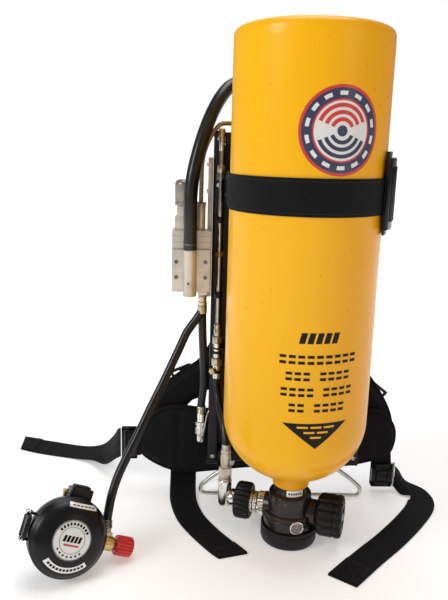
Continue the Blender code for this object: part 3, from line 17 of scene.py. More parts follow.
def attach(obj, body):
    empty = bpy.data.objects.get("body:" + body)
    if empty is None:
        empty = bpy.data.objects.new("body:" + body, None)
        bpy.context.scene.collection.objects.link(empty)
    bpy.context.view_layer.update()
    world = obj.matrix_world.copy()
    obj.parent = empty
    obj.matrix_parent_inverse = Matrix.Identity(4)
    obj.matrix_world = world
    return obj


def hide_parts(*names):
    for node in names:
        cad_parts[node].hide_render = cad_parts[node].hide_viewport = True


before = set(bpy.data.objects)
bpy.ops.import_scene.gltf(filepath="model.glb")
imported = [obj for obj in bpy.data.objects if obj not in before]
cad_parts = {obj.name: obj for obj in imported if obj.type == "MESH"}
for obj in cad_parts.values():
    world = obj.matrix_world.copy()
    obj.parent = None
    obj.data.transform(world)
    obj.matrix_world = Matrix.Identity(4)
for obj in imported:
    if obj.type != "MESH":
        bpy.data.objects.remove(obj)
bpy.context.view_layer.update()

LOG = logging.getLogger("breathing_apparatus")
TAU = 2 * math.pi
ROOT = "apparatus"
Number = Union[float, "Wire"]
Colour = tuple[float, float, float]
Profile = Sequence[tuple[float, float]]
Span = tuple[Sequence[float], Sequence[float], float]


# ---------------------------------------------------------------- shader graphs
class Wire:
    """A shader socket whose arithmetic adds Math nodes."""

    def __init__(self, graph: "Graph", socket: bpy.types.NodeSocket) -> None:
        """Keeps the socket with the graph that it is in."""
        self.graph = graph
        self.socket = socket

    def __add__(self, other: Number) -> "Wire":
        """Adds."""
        return self.graph.math("ADD", self, other)

    __radd__ = __add__

    def __sub__(self, other: Number) -> "Wire":
        """Takes away."""
        return self.graph.math("SUBTRACT", self, other)

    def __rsub__(self, other: Number) -> "Wire":
        """Is taken away from a number."""
        return self.graph.math("SUBTRACT", other, self)

    def __mul__(self, other: Number) -> "Wire":
        """Multiplies."""
        return self.graph.math("MULTIPLY", self, other)

    __rmul__ = __mul__


class Graph:
    """A material's node tree, with its Principled shader."""

    def __init__(self, name: str) -> None:
        """Makes the material."""
        self.material = bpy.data.materials.new(name)
        self.material.use_nodes = True
        self.tree = self.material.node_tree
        self.shader = self.tree.nodes["Principled BSDF"]

    def put(self, socket: bpy.types.NodeSocket, value: object) -> None:
        """Links a wire to a socket, or sets its value."""
        if isinstance(value, Wire):
            self.tree.links.new(value.socket, socket)
        else:
            socket.default_value = value

    def add(self, kind: str, settings: dict, inputs: dict, output: Union[int, str] = 0) -> Wire:
        """Adds any node.

        Args:
            kind: The node's type.
            settings: Its properties, set first.
            inputs: Values or wires, by socket name or number.
            output: Which output to return.

        Returns:
            The output as a wire.
        """
        node = self.tree.nodes.new(kind)
        for key, value in settings.items():
            setattr(node, key, value)
        for key, value in inputs.items():
            self.put(node.inputs[key], value)
        return Wire(self, node.outputs[output])

    def math(self, operation: str, *values: Number) -> Wire:
        """Adds a Math node."""
        return self.add("ShaderNodeMath", {"operation": operation}, dict(enumerate(values)))

    def mix(self, factor: Number, low: object, high: object) -> Wire:
        """Mixes two colours."""
        low, high = ((*c, 1.0) if isinstance(c, tuple) else c for c in (low, high))
        return self.add("ShaderNodeMix", {"data_type": "RGBA"}, {0: factor, 6: low, 7: high}, 2)

    def step(self, value: Wire, low: float, high: float) -> Wire:
        """Rises smoothly from 0 at low to 1 at high."""
        settings = {"interpolation_type": "SMOOTHSTEP"}
        return self.add("ShaderNodeMapRange", settings, {"Value": value, "From Min": low, "From Max": high})

    def coordinates(self, kind: str = "Object") -> Wire:
        """Gives the piece's own coordinates, or its UV map."""
        return self.add("ShaderNodeTexCoord", {}, {}, kind)

    def axes(self, vector: Wire) -> list[Wire]:
        """Splits a vector."""
        first = self.add("ShaderNodeSeparateXYZ", {}, {0: vector})
        return [Wire(self, output) for output in first.socket.node.outputs]

    def stretched(self, scale: Sequence[float], turn: Sequence[float] = (0.0, 0.0, 0.0),
        kind: str = "Object") -> Wire:
        """Scales and turns the coordinates."""
        return self.add("ShaderNodeMapping", {}, {"Vector": self.coordinates(kind), "Scale": scale,
            "Rotation": turn})

    def noise(self, scale: float, detail: float = 3.0, vector: Optional[Wire] = None,
        harsh: float = 0.5) -> Wire:
        """Adds a noise of this many features per metre."""
        vector = vector or self.coordinates()
        inputs = {"Vector": vector, "Scale": scale, "Detail": detail, "Roughness": harsh}
        return self.add("ShaderNodeTexNoise", {}, inputs)

    def scratches(self, scale: float, turn: float) -> Wire:
        """Gives thin broken lines that run mostly one way."""
        vector = self.stretched((scale, scale * 0.05, scale * 0.4), (turn, 0.4 * turn, turn))
        lines = self.noise(1.0, 2.0, vector)
        return self.step(lines, 0.66, 0.72) * self.step(self.noise(scale * 0.05, 2.0), 0.45, 0.6)

    def sine(self, value: Wire) -> Wire:
        """Takes a sine."""
        return self.math("SINE", value)

    def relief(self, height: Wire, strength: float, distance: float) -> None:
        """Feeds a height to the shader's normal through a Bump node."""
        inputs = {"Strength": strength, "Distance": distance, "Height": height}
        self.put(self.shader.inputs["Normal"], self.add("ShaderNodeBump", {}, inputs))


# ---------------------------------------------------------------- finishes
class Pattern(Enum):
    """What a surface shows close up."""

    PAINT = "wound and painted"
    MOULDED = "moulded plastic"
    RUBBER = "rubber"
    COATED = "powder coat"
    MACHINED = "machined metal"
    PLATED = "plated metal"
    BRAID = "wire braid"
    WEBBING = "woven strap"
    CLOTH = "woven cloth"
    THREAD = "twisted thread"
    PRINT = "printed ink"
    LENS = "clear lens"
    FLOOR = "floor"


@dataclass(frozen=True)
class Finish:
    """One finish: its colours, its gloss and its pattern.

    Attributes:
        name: The material's name.
        pattern: What the surface shows close up.
        colour: Its main colour.
        second: The colour that wear, dust or grime shows, and on the cylinder paint also the painted shade of
            its +X side.
        roughness: The middle of its roughness.
        metallic: Whether it is bare metal.
        coat: The weight of a clear coat.
        slot: The record's material slot that it belongs to. It is not used.
        specular: How strongly it mirrors light at its face, 0.5 for most solids.
    """

    name: str
    pattern: Pattern
    colour: Colour
    second: Colour
    roughness: float
    metallic: float = 0.0
    coat: float = 0.0
    slot: str = ""
    specular: float = 0.5

    def material(self) -> bpy.types.Material:
        """Returns the finish's material, made on its first use."""
        made = bpy.data.materials.get(self.name)
        if made is None:
            graph = Graph(self.name)
            graph.shader.inputs["Metallic"].default_value = self.metallic
            graph.shader.inputs["Coat Weight"].default_value = self.coat
            graph.shader.inputs["Specular IOR Level"].default_value = self.specular
            getattr(self, f"_{self.pattern.name.lower()}")(graph)
            made = graph.material
        return made

    def _lay(self, graph: Graph, share: Number, rough: Number) -> None:
        """Feeds the mix of the two colours and the roughness to the shader."""
        graph.put(graph.shader.inputs["Base Color"], graph.mix(share, self.colour, self.second))
        graph.put(graph.shader.inputs["Roughness"], rough)

    def _paint(self, graph: Graph) -> None:
        """Glossy paint over wound fibre: faint crossed windings, fine marks, a warmer tone low down and painted
        shade on its +X side.
        """
        x, y, z = graph.axes(graph.coordinates())
        angle = graph.math("ARCTAN2", y, x)
        wound = graph.sine(z * 900.0 + angle * 10.0) * graph.sine(z * 900.0 - angle * 10.0)
        hoop = graph.sine(z * 1500.0)
        mottle = graph.noise(9.0, 4.0)
        rubs = graph.scratches(420.0, 0.5)
        warm = 1.0 - graph.step(z, 0.085, 0.150)
        # The step along x blends the +X side towards the darker second colour: painted shade.
        share = mottle * 0.16 + warm * 0.30 + graph.step(x, -0.03, 0.09) * 0.42 + rubs * 0.5
        self._lay(graph, share, self.roughness + mottle * 0.10 + rubs * 0.35)
        graph.shader.inputs["Coat Roughness"].default_value = 0.06
        orange_peel = graph.noise(260.0, 2.0)
        graph.relief(wound * 0.25 + hoop * 0.08 + orange_peel * 0.8 - rubs * 0.8, 0.25, 0.00015)

    def _moulded(self, graph: Graph) -> None:
        """Moulded plastic: fine spark grain, flow marks and scuffs."""
        grain = graph.noise(2600.0, 2.0)
        flow = graph.noise(45.0, 4.0)
        rubs = graph.scratches(700.0, 0.9)
        self._lay(graph, flow * 0.35 + rubs * 0.6, self.roughness - 0.08 + flow * 0.16 + rubs * 0.25)
        graph.relief(grain * 0.6 + flow * 0.25 - rubs * 0.5, 0.35, 0.00012)

    def _rubber(self, graph: Graph) -> None:
        """Rubber: a matt cloth-cured skin with dust in its hollows."""
        skin = graph.noise(1500.0, 3.0)
        dust = graph.step(graph.noise(38.0, 5.0, harsh=0.65), 0.52, 0.80)
        rings = graph.noise(420.0, 2.0)
        self._lay(graph, dust * 0.55 + skin * 0.15, self.roughness - 0.05 + dust * 0.20)
        graph.relief(skin * 0.7 + rings * 0.35, 0.4, 0.0002)

    def _coated(self, graph: Graph) -> None:
        """Powder coat: orange peel, rubbed bright specks and dull patches."""
        peel = graph.noise(750.0, 2.0)
        rubs = graph.scratches(500.0, 0.3)
        cloud = graph.noise(22.0, 4.0)
        self._lay(graph, cloud * 0.3 + rubs * 0.8, self.roughness - 0.06 + cloud * 0.16)
        graph.relief(peel - rubs * 0.4, 0.4, 0.0002)

    def _machined(self, graph: Graph) -> None:
        """Machined and anodised metal: tool lines along it, light stains and nicks."""
        lines = graph.noise(1.0, 3.0, graph.stretched((2600.0, 2600.0, 130.0)), 0.6)
        stain = graph.noise(55.0, 5.0, harsh=0.6)
        nicks = graph.scratches(900.0, 1.3)
        share = graph.step(stain, 0.42, 0.78) * 0.6 + lines * 0.25 + nicks * 0.3
        self._lay(graph, share, self.roughness - 0.10 + lines * 0.16 + stain * 0.10)
        graph.relief(lines * 0.7 - nicks, 0.3, 0.00008)

    def _plated(self, graph: Graph) -> None:
        """Plated metal: bright, with smudges and tiny pits."""
        smudge = graph.noise(70.0, 5.0, harsh=0.65)
        pits = graph.step(graph.noise(1800.0, 1.0), 0.70, 0.78)
        rings = graph.noise(1.0, 2.0, graph.stretched((60.0, 60.0, 2200.0)))
        self._lay(graph, graph.step(smudge, 0.45, 0.75) * 0.7 + pits * 0.3,
            self.roughness + smudge * 0.16 + pits * 0.2)
        graph.relief(rings * 0.4 - pits + smudge * 0.3, 0.22, 0.00008)

    def _braid(self, graph: Graph) -> None:
        """A braided wire sleeve: flat strands that cross, seen by the tube's own lengths."""
        around, along, _ = graph.axes(graph.coordinates("UV"))
        one = graph.sine(along * 2400.0 + around * 1430.0)
        other = graph.sine(along * 2400.0 - around * 1430.0)
        over = graph.math("MAXIMUM", one, other)
        gaps = 1.0 - graph.step(over, 0.1, 0.8)
        stain = graph.noise(160.0, 3.0)
        self._lay(graph, gaps * 0.75 + stain * 0.2, self.roughness + gaps * 0.25)
        graph.relief(over, 0.8, 0.0003)

    def _webbing(self, graph: Graph) -> None:
        """Woven strap: fine ribs along it, crossed by the weft, with lint and faded threads."""
        across, along, _ = graph.axes(graph.coordinates("UV"))
        warp = graph.sine(across * 4200.0)
        weft = graph.sine(along * 3100.0 + graph.math("SIGN", warp) * 1.57)
        weave = warp * 0.6 + weft * 0.5
        lint = graph.noise(340.0, 5.0, harsh=0.7)
        faded = graph.noise(28.0, 3.0)
        share = graph.step(weave, -0.4, 1.1) * 0.4 + graph.step(lint, 0.56, 0.75) * 0.3 + faded * 0.25
        self._lay(graph, share, self.roughness - 0.1 + lint * 0.2)
        graph.shader.inputs["Sheen Weight"].default_value = 0.03
        graph.relief(weave + lint * 0.5, 0.7, 0.0003)

    def _cloth(self, graph: Graph) -> None:
        """Woven nylon over padding: a plain weave, soft creases and lint."""
        x, y, z = graph.axes(graph.coordinates())
        weave = graph.sine((x + y * 0.7) * 3900.0) * graph.sine((z - y * 0.7) * 3900.0)
        crease = graph.noise(42.0, 4.0, harsh=0.6)
        lint = graph.step(graph.noise(520.0, 4.0, harsh=0.7), 0.60, 0.78)
        self._lay(graph, graph.step(weave, -0.5, 1.0) * 0.35 + lint * 0.3 + crease * 0.2,
            self.roughness - 0.08 + crease * 0.15)
        graph.shader.inputs["Sheen Weight"].default_value = 0.03
        graph.relief(weave * 0.35 + crease * 2.2, 0.6, 0.0006)

    def _thread(self, graph: Graph) -> None:
        """Sewing thread: twisted, with a slight fuzz."""
        twist = graph.noise(2400.0, 2.0)
        self._lay(graph, twist, self.roughness)
        graph.relief(twist, 0.6, 0.0002)

    def _print(self, graph: Graph) -> None:
        """Ink or a foil label: even, with rubbed spots."""
        worn = graph.step(graph.noise(900.0, 4.0, harsh=0.7), 0.64, 0.80)
        film = graph.noise(120.0, 3.0)
        self._lay(graph, worn * 0.5 + film * 0.12, self.roughness + film * 0.10 + worn * 0.15)
        graph.relief(film, 0.15, 0.0001)

    def _lens(self, graph: Graph) -> None:
        """A thin clear lens, mostly seen by its gloss."""
        film = graph.noise(90.0, 3.0)
        self._lay(graph, film * 0.3, self.roughness + film * 0.06)
        graph.put(graph.shader.inputs["Alpha"], 0.10 + film * 0.06)

    def _floor(self, graph: Graph) -> None:
        """A pale studio floor that glows softly towards its far edge, so that no horizon shows."""
        grain = graph.noise(6.0, 4.0)
        self._lay(graph, grain, self.roughness)
        x, y, _ = graph.axes(graph.coordinates())
        away = graph.math("SQRT", x * x + y * y)
        glow = graph.step(away, 0.30, 2.0) * 0.64 + 0.32
        graph.put(graph.shader.inputs["Emission Color"], graph.mix(glow, (0.0, 0.0, 0.0), (1.0, 1.0, 1.0)))
        graph.shader.inputs["Emission Strength"].default_value = 1.0


# Its second colour serves wear and the painted shade of the cylinder's +X side.
YELLOW = Finish("cylinder_yellow_paint", Pattern.PAINT, (0.93, 0.475, 0.003), (0.74, 0.24, 0.005), 0.26, 0.0,
    0.12, "yellow_gloss", 0.20)
BARE_ALUMINIUM = Finish("bare_aluminium", Pattern.MACHINED, (0.62, 0.62, 0.63), (0.40, 0.40, 0.41), 0.36, 1.0,
    0.0, "aluminium")
ANODISED = Finish("beige_anodised_aluminium", Pattern.MACHINED, (0.66, 0.60, 0.52), (0.42, 0.36, 0.29), 0.42,
    0.55, 0.0, "beige_anodised")
# The beige anodising again, darker: painted shade, used on the spring bonnet and the tool lines.
BEIGE_PAINTED_SHADE = Finish("beige_anodised_painted_shade", Pattern.MACHINED, (0.30, 0.255, 0.21), (0.15, 0.12, 0.10), 0.36,
    0.6, 0.1, "beige_anodised")
COATED_BLACK = Finish("black_powder_coat", Pattern.COATED, (0.0045, 0.0045, 0.005), (0.032, 0.032, 0.034), 0.42,
    0.0, 0.0, "black_coated", 0.35)
PLASTIC_BLACK = Finish("black_moulded_plastic", Pattern.MOULDED, (0.0028, 0.0028, 0.0032),
    (0.016, 0.016, 0.017), 0.30, 0.0, 0.0, "black_plastic", 0.28)
RUBBER_BLACK = Finish("black_rubber_skin", Pattern.RUBBER, (0.0035, 0.0035, 0.004), (0.024, 0.022, 0.021), 0.52,
    0.0, 0.0, "black_rubber", 0.3)
HOSE_BLACK = Finish("black_hose_cover", Pattern.RUBBER, (0.0035, 0.0035, 0.004), (0.020, 0.018, 0.016), 0.36,
    0.0, 0.12, "black_rubber", 0.4)
DIAPHRAGM_GREY = Finish("grey_diaphragm_rubber", Pattern.RUBBER, (0.05, 0.05, 0.055), (0.11, 0.11, 0.11), 0.6,
    0.0, 0.0, "diaphragm_rubber")
STRAP_BLACK = Finish("black_woven_strap", Pattern.WEBBING, (0.0015, 0.0015, 0.0018), (0.011, 0.011, 0.012),
    0.80, 0.0, 0.0, "black_webbing", 0.18)
PAD_BLACK = Finish("black_nylon_cloth", Pattern.CLOTH, (0.0015, 0.0015, 0.0018), (0.012, 0.012, 0.013), 0.78,
    0.0, 0.0, "black_webbing", 0.18)
THREAD_GREY = Finish("grey_thread", Pattern.THREAD, (0.026, 0.026, 0.028), (0.060, 0.060, 0.063), 0.7, 0.0, 0.0,
    "black_webbing", 0.25)
VALVE_BROWN = Finish("smoky_valve_grey", Pattern.MOULDED, (0.016, 0.012, 0.011), (0.055, 0.042, 0.037), 0.28,
    0.35, 0.2, "valve_grey", 0.4)
CHROME = Finish("bright_plating", Pattern.PLATED, (0.80, 0.79, 0.76), (0.42, 0.39, 0.35), 0.10, 1.0, 0.0,
    "chrome")
STEEL = Finish("polished_steel", Pattern.PLATED, (0.62, 0.61, 0.58), (0.33, 0.31, 0.28), 0.20, 1.0, 0.0,
    "steel")
DARK_STEEL = Finish("dark_screw_steel", Pattern.PLATED, (0.16, 0.15, 0.14), (0.06, 0.055, 0.05), 0.30, 1.0, 0.0,
    "steel")
BRASS = Finish("dull_brass", Pattern.PLATED, (0.62, 0.46, 0.19), (0.33, 0.23, 0.10), 0.24, 1.0, 0.0, "brass")
NICKEL = Finish("warm_nickel", Pattern.PLATED, (0.58, 0.52, 0.42), (0.33, 0.28, 0.21), 0.24, 1.0, 0.0, "brass")
COPPER = Finish("copper_wire_braid", Pattern.BRAID, (0.66, 0.44, 0.30), (0.11, 0.055, 0.03), 0.32, 0.9, 0.0,
    "copper_braid")
RED = Finish("red_moulded_plastic", Pattern.MOULDED, (0.70, 0.012, 0.014), (0.40, 0.006, 0.008), 0.34, 0.0, 0.2,
    "red_plastic")
INK_BLACK = Finish("black_ink", Pattern.PRINT, (0.003, 0.003, 0.003), (0.05, 0.03, 0.005), 0.42, 0.0, 0.0,
    "black_plastic", 0.2)
INK_RED = Finish("red_ink", Pattern.PRINT, (0.60, 0.03, 0.03), (0.35, 0.05, 0.03), 0.35, 0.0, 0.3,
    "red_plastic")
INK_WHITE = Finish("white_ink", Pattern.PRINT, (0.74, 0.73, 0.70), (0.48, 0.46, 0.42), 0.35, 0.0, 0.3,
    "aluminium")
INK_BLUE = Finish("dark_blue_ink", Pattern.PRINT, (0.022, 0.028, 0.075), (0.06, 0.05, 0.06), 0.35, 0.0, 0.3,
    "black_plastic")
FOIL = Finish("white_foil_label", Pattern.PRINT, (0.86, 0.86, 0.85), (0.60, 0.60, 0.58), 0.30, 0.2, 0.2,
    "aluminium")
DIAL_WHITE = Finish("dial_enamel", Pattern.PRINT, (0.72, 0.72, 0.68), (0.55, 0.54, 0.48), 0.40, 0.0, 0.0,
    "aluminium")
LENS = Finish("clear_lens", Pattern.LENS, (0.80, 0.82, 0.82), (0.60, 0.62, 0.62), 0.05, 0.0, 0.5, "aluminium")
FLOOR_WHITE = Finish("studio_floor", Pattern.FLOOR, (0.88, 0.88, 0.88), (0.86, 0.86, 0.86), 0.9, specular=0.1)


# ---------------------------------------------------------------- shapes
def lay(axis: Sequence[float], place: Sequence[float] = (0.0, 0.0, 0.0)) -> Matrix:
    """Returns the matrix that lays a turned shape's Z axis along an axis, at a place."""
    turn = Vector((0.0, 0.0, 1.0)).rotation_difference(Vector(axis)).to_matrix().to_4x4()
    return Matrix.Translation(place) @ turn


def arc(radius: float, start: float, end: float, count: int,
    centre: Sequence[float] = (0.0, 0.0)) -> list[tuple[float, float]]:
    """Returns the points of an arc, its angles in degrees."""
    angles = [math.radians(start + (end - start) * i / (count - 1)) for i in range(count)]
    return [(centre[0] + radius * math.cos(a), centre[1] + radius * math.sin(a)) for a in angles]


def curve_point(keys: Sequence[Sequence[float]], position: float) -> list[float]:
    """Returns the values at a position, counted in keys, of the smooth curve through the keys."""
    index = min(int(position), len(keys) - 2)
    t = position - index
    p1, p2 = keys[index], keys[index + 1]
    p0 = keys[index - 1] if index > 0 else [2 * a - b for a, b in zip(p1, p2)]
    p3 = keys[index + 2] if index + 2 < len(keys) else [2 * b - a for a, b in zip(p1, p2)]
    return [
        0.5 * (2 * b + (c - a) * t + (2 * a - 5 * b + 4 * c - d) * t ** 2 + (3 * b - a - 3 * c + d) * t ** 3)
        for a, b, c, d in zip(p0, p1, p2, p3)
    ]


def even_points(keys: Sequence[Sequence[float]], spacing: float) -> list[Vector]:
    """Returns points at about this spacing along the smooth curve through the keys."""
    fine = [Vector(curve_point(keys, i / 20)) for i in range(20 * (len(keys) - 1) + 1)]
    lengths = [0.0]
    for a, b in zip(fine, fine[1:]):
        lengths.append(lengths[-1] + (b - a).length)
    count = max(2, round(lengths[-1] / spacing))
    points, at = [], 0
    for i in range(count + 1):
        target = lengths[-1] * i / count
        while at < len(fine) - 2 and lengths[at + 1] < target:
            at += 1
        points.append(fine[at].lerp(fine[at + 1], (target - lengths[at]) / (lengths[at + 1] - lengths[at])))
    return points


def hose_points(keys: Sequence[Sequence[float]], spacing: float) -> list[Vector]:
    """Returns even points through the keys, with the first and the last leg kept straight."""
    return [Vector(keys[0]), *even_points(keys[1:-1], spacing), Vector(keys[-1])]


class Shape:
    """The mesh of one piece, gathered from shapes that bmesh operators make."""

    def __init__(self) -> None:
        """Starts empty, with the UV map that strap and hose patterns read."""
        self.bm = bmesh.new()
        self.bm.loops.layers.uv.new("lengths")

    def join(self, bm: bmesh.types.BMesh, place: Matrix = Matrix.Identity(4), facing: bool = True) -> "Shape":
        """Adds a finished bmesh at a place.

        Args:
            bm: The shape to take in. It is freed.
            place: Where it goes.
            facing: Whether its normals are made to face outwards.

        Returns:
            This shape.
        """
        if facing:
            bmesh.ops.recalc_face_normals(bm, faces=bm.faces)
        bmesh.ops.transform(bm, matrix=place, verts=bm.verts)
        if place.determinant() < 0:
            bmesh.ops.reverse_faces(bm, faces=bm.faces)
        mesh = bpy.data.meshes.new("joined")
        bm.to_mesh(mesh)
        bm.free()
        self.bm.from_mesh(mesh)
        bpy.data.meshes.remove(mesh)
        return self

    @staticmethod
    def _fresh() -> bmesh.types.BMesh:
        """Returns an empty bmesh that holds the same UV map."""
        bm = bmesh.new()
        bm.loops.layers.uv.new("lengths")
        return bm

    @staticmethod
    def _round(bm: bmesh.types.BMesh, width: float, segments: int, least: float = 25.0) -> None:
        """Rounds every edge that is sharper than an angle in degrees."""
        if width <= 0:
            return
        sharp = [e for e in bm.edges if len(e.link_faces) == 2 and e.calc_face_angle(0.0) > math.radians(least)]
        bmesh.ops.bevel(
            bm, geom=sharp, offset=width, offset_type="OFFSET", segments=segments, profile=0.5,
            affect="EDGES", clamp_overlap=True, material=-1,
        )

    def turned(self, profile: Profile, place: Matrix = Matrix.Identity(4), steps: int = 64,
        rounding: float = 0.0,
               flutes: int = 0, depth: float = 0.0, inner: float = 0.0, sharpness: float = 1.0) -> "Shape":
        """Adds the solid that (radius, height) pairs make when turned round Z.

        Args:
            profile: From the top down the outer side. Off the axis at both ends, it closes into a ring.
            place: Where it goes.
            steps: Faces round it.
            rounding: How far its corners are rounded.
            flutes: How many hollows are cut round it.
            depth: How deep they are.
            inner: The radius inside which nothing is cut.
            sharpness: Above 1 makes narrow hollows, below 1 narrow ribs.

        Returns:
            This shape.
        """
        bm = self._fresh()
        verts = [bm.verts.new((radius, 0.0, height)) for radius, height in profile]
        pairs = list(zip(verts, verts[1:]))
        if profile[0][0] > 0:
            pairs.append((verts[-1], verts[0]))
        edges = [bm.edges.new(pair) for pair in pairs]
        bmesh.ops.spin(
            bm, geom=verts + edges, cent=(0, 0, 0), axis=(0, 0, 1), angle=TAU, steps=steps,
            use_merge=True, use_duplicate=False,
        )
        bmesh.ops.remove_doubles(bm, verts=bm.verts, dist=1e-6)
        bmesh.ops.recalc_face_normals(bm, faces=bm.faces)
        self._round(bm, rounding, 2)
        for vert in bm.verts if flutes else ():
            radius = math.hypot(vert.co.x, vert.co.y)
            if radius > inner:
                wave = (0.5 - 0.5 * math.cos(flutes * math.atan2(vert.co.y, vert.co.x))) ** sharpness
                share = min(1.0, (radius - inner) / max(depth, 1e-6))
                scale = 1 - depth * wave * share / radius
                vert.co.x *= scale
                vert.co.y *= scale
        return self.join(bm, place)

    def ring(self, inner: float, outer: float, low: float, high: float, place: Matrix = Matrix.Identity(4),
             steps: int = 48, rounding: float = 0.0002) -> "Shape":
        """Adds a plain sleeve."""
        return self.turned([(inner, high), (outer, high), (outer, low), (inner, low)], place, steps, rounding)

    def rod(self, radius: float, low: float, high: float, place: Matrix = Matrix.Identity(4),
            steps: int = 32, rounding: float = 0.0003) -> "Shape":
        """Adds a round bar with eased ends."""
        return self.turned([(0, high), (radius, high), (radius, low), (0, low)], place, steps, rounding)

    def prism(self, sides: int, flats: float, low: float, high: float, place: Matrix = Matrix.Identity(4),
              rounding: float = 0.0003) -> "Shape":
        """Adds a nut or bar with flat sides, flats being half of its width across flats."""
        bm = self._fresh()
        radius = flats / math.cos(math.pi / sides)
        made = bmesh.ops.create_circle(bm, cap_ends=True, segments=sides, radius=radius)
        raised = bmesh.ops.extrude_face_region(bm, geom=[made["verts"][0].link_faces[0]])["geom"]
        bmesh.ops.translate(bm, vec=(0, 0, high - low), verts=[v for v in raised
            if isinstance(v, bmesh.types.BMVert)])
        bmesh.ops.translate(bm, vec=(0, 0, low), verts=bm.verts)
        bmesh.ops.recalc_face_normals(bm, faces=bm.faces)
        self._round(bm, rounding, 2)
        return self.join(bm, place)

    def block(self, low: Sequence[float], high: Sequence[float], rounding: float = 0.0005,
              place: Matrix = Matrix.Identity(4), segments: int = 3) -> "Shape":
        """Adds a box with eased edges."""
        bm = self._fresh()
        bmesh.ops.create_cube(bm, size=1.0)
        low, high = Vector(low), Vector(high)
        bmesh.ops.scale(bm, vec=high - low, verts=bm.verts)
        bmesh.ops.translate(bm, vec=(low + high) / 2, verts=bm.verts)
        self._round(bm, rounding, segments)
        return self.join(bm, place)

    def plate(self, outline: Iterable[Sequence[float]], low: float, high: float,
        place: Matrix = Matrix.Identity(4),
              rounding: float = 0.0003, segments: int = 2) -> "Shape":
        """Adds a flat outline in XY, raised between two heights."""
        bm = self._fresh()
        face = bm.faces.new([bm.verts.new((x, y, low)) for x, y in outline])
        raised = bmesh.ops.extrude_face_region(bm, geom=[face])["geom"]
        bmesh.ops.translate(bm, vec=(0, 0, high - low), verts=[v for v in raised
            if isinstance(v, bmesh.types.BMVert)])
        bmesh.ops.recalc_face_normals(bm, faces=bm.faces)
        self._round(bm, rounding, segments, 50.0)
        return self.join(bm, place)

    def bent(self, across: int, along: int, place: Callable[[float, float], Sequence[float]],
             lengths: tuple[float, float] = (1.0, 1.0), closed: bool = False, thickness: float = 0.0,
             rounding: float = 0.0) -> "Shape":
        """Adds a grid bent into any sheet.

        Args:
            across: Faces in the first direction.
            along: Faces in the second.
            place: Gives the point for (u, v), each from 0 to 1.
            lengths: The sheet's real size, which its UV map holds.
            closed: Whether its two long edges meet and its ends are filled, as on a tube.
            thickness: How thick it is made, half on each side. A closed tube keeps 0.
            rounding: How far a thick sheet's edges are rounded.

        Returns:
            This shape.
        """
        bm = self._fresh()
        bmesh.ops.create_grid(bm, x_segments=across, y_segments=along, size=0.5)
        uv = bm.loops.layers.uv["lengths"]
        for face in bm.faces:
            for loop in face.loops:
                loop[uv].uv = ((loop.vert.co.x + 0.5) * lengths[0], (loop.vert.co.y + 0.5) * lengths[1])
        for vert in bm.verts:
            vert.co = Vector(place(vert.co.x + 0.5, vert.co.y + 0.5))
        bmesh.ops.remove_doubles(bm, verts=bm.verts, dist=1e-7)
        if closed:
            rims = [e for e in bm.edges if e.is_boundary]
            bmesh.ops.holes_fill(bm, edges=rims, sides=0)
        bmesh.ops.recalc_face_normals(bm, faces=bm.faces)
        if thickness:
            bm.normal_update()
            for vert in bm.verts:
                vert.co += vert.normal * thickness / 2
            bmesh.ops.solidify(bm, geom=bm.faces[:], thickness=thickness)
            bmesh.ops.recalc_face_normals(bm, faces=bm.faces)
            self._round(bm, rounding, 2, 60.0)
        return self.join(bm, Matrix.Identity(4), facing=closed or bool(thickness))

    def tube(self, points: Sequence[Sequence[float]], radius: Union[float, Callable[[float], float]],
             steps: int = 16) -> "Shape":
        """Adds a round tube along points, closed at both ends.

        Args:
            points: Its centreline.
            radius: Its radius, or one for each share of its length.
            steps: Faces round it.

        Returns:
            This shape.
        """
        points = [Vector(p) for p in points]
        count = len(points) - 1
        lengths, sides = [0.0], []
        side = (points[1] - points[0]).orthogonal().normalized()
        for i, point in enumerate(points):
            before, after = points[max(i - 1, 0)], points[min(i + 1, count)]
            direction = (after - before).normalized()
            side = (side - direction * side.dot(direction)).normalized()
            sides.append((side, direction.cross(side)))
            if i:
                lengths.append(lengths[-1] + (point - points[i - 1]).length)
        widest = radius if isinstance(radius, (int, float)) else radius(0.5)

        def place(u: float, v: float) -> Vector:
            """Gives the point at a share round the tube and a share along it."""
            i = round(v * count)
            reach = radius if isinstance(radius, (int, float)) else radius(lengths[i] / lengths[-1])
            one, other = sides[i]
            return points[i] + (one * math.cos(TAU * u) + other * math.sin(TAU * u)) * reach

        return self.bent(steps, count, place, (TAU * widest, lengths[-1]), closed=True)

    def screw(self, place: Matrix, radius: float = 0.0022, height: float = 0.0012) -> "Shape":
        """Adds a round screw head with a hexagon socket, its top facing the place's Z axis."""
        socket = radius * 0.5
        self.turned([(0, height * 0.4), (socket, height * 0.4), (socket, height), (radius - 0.0003, height),
                     (radius, height - 0.0004), (radius, -0.0004), (0, -0.0004)], place, 24)
        return self


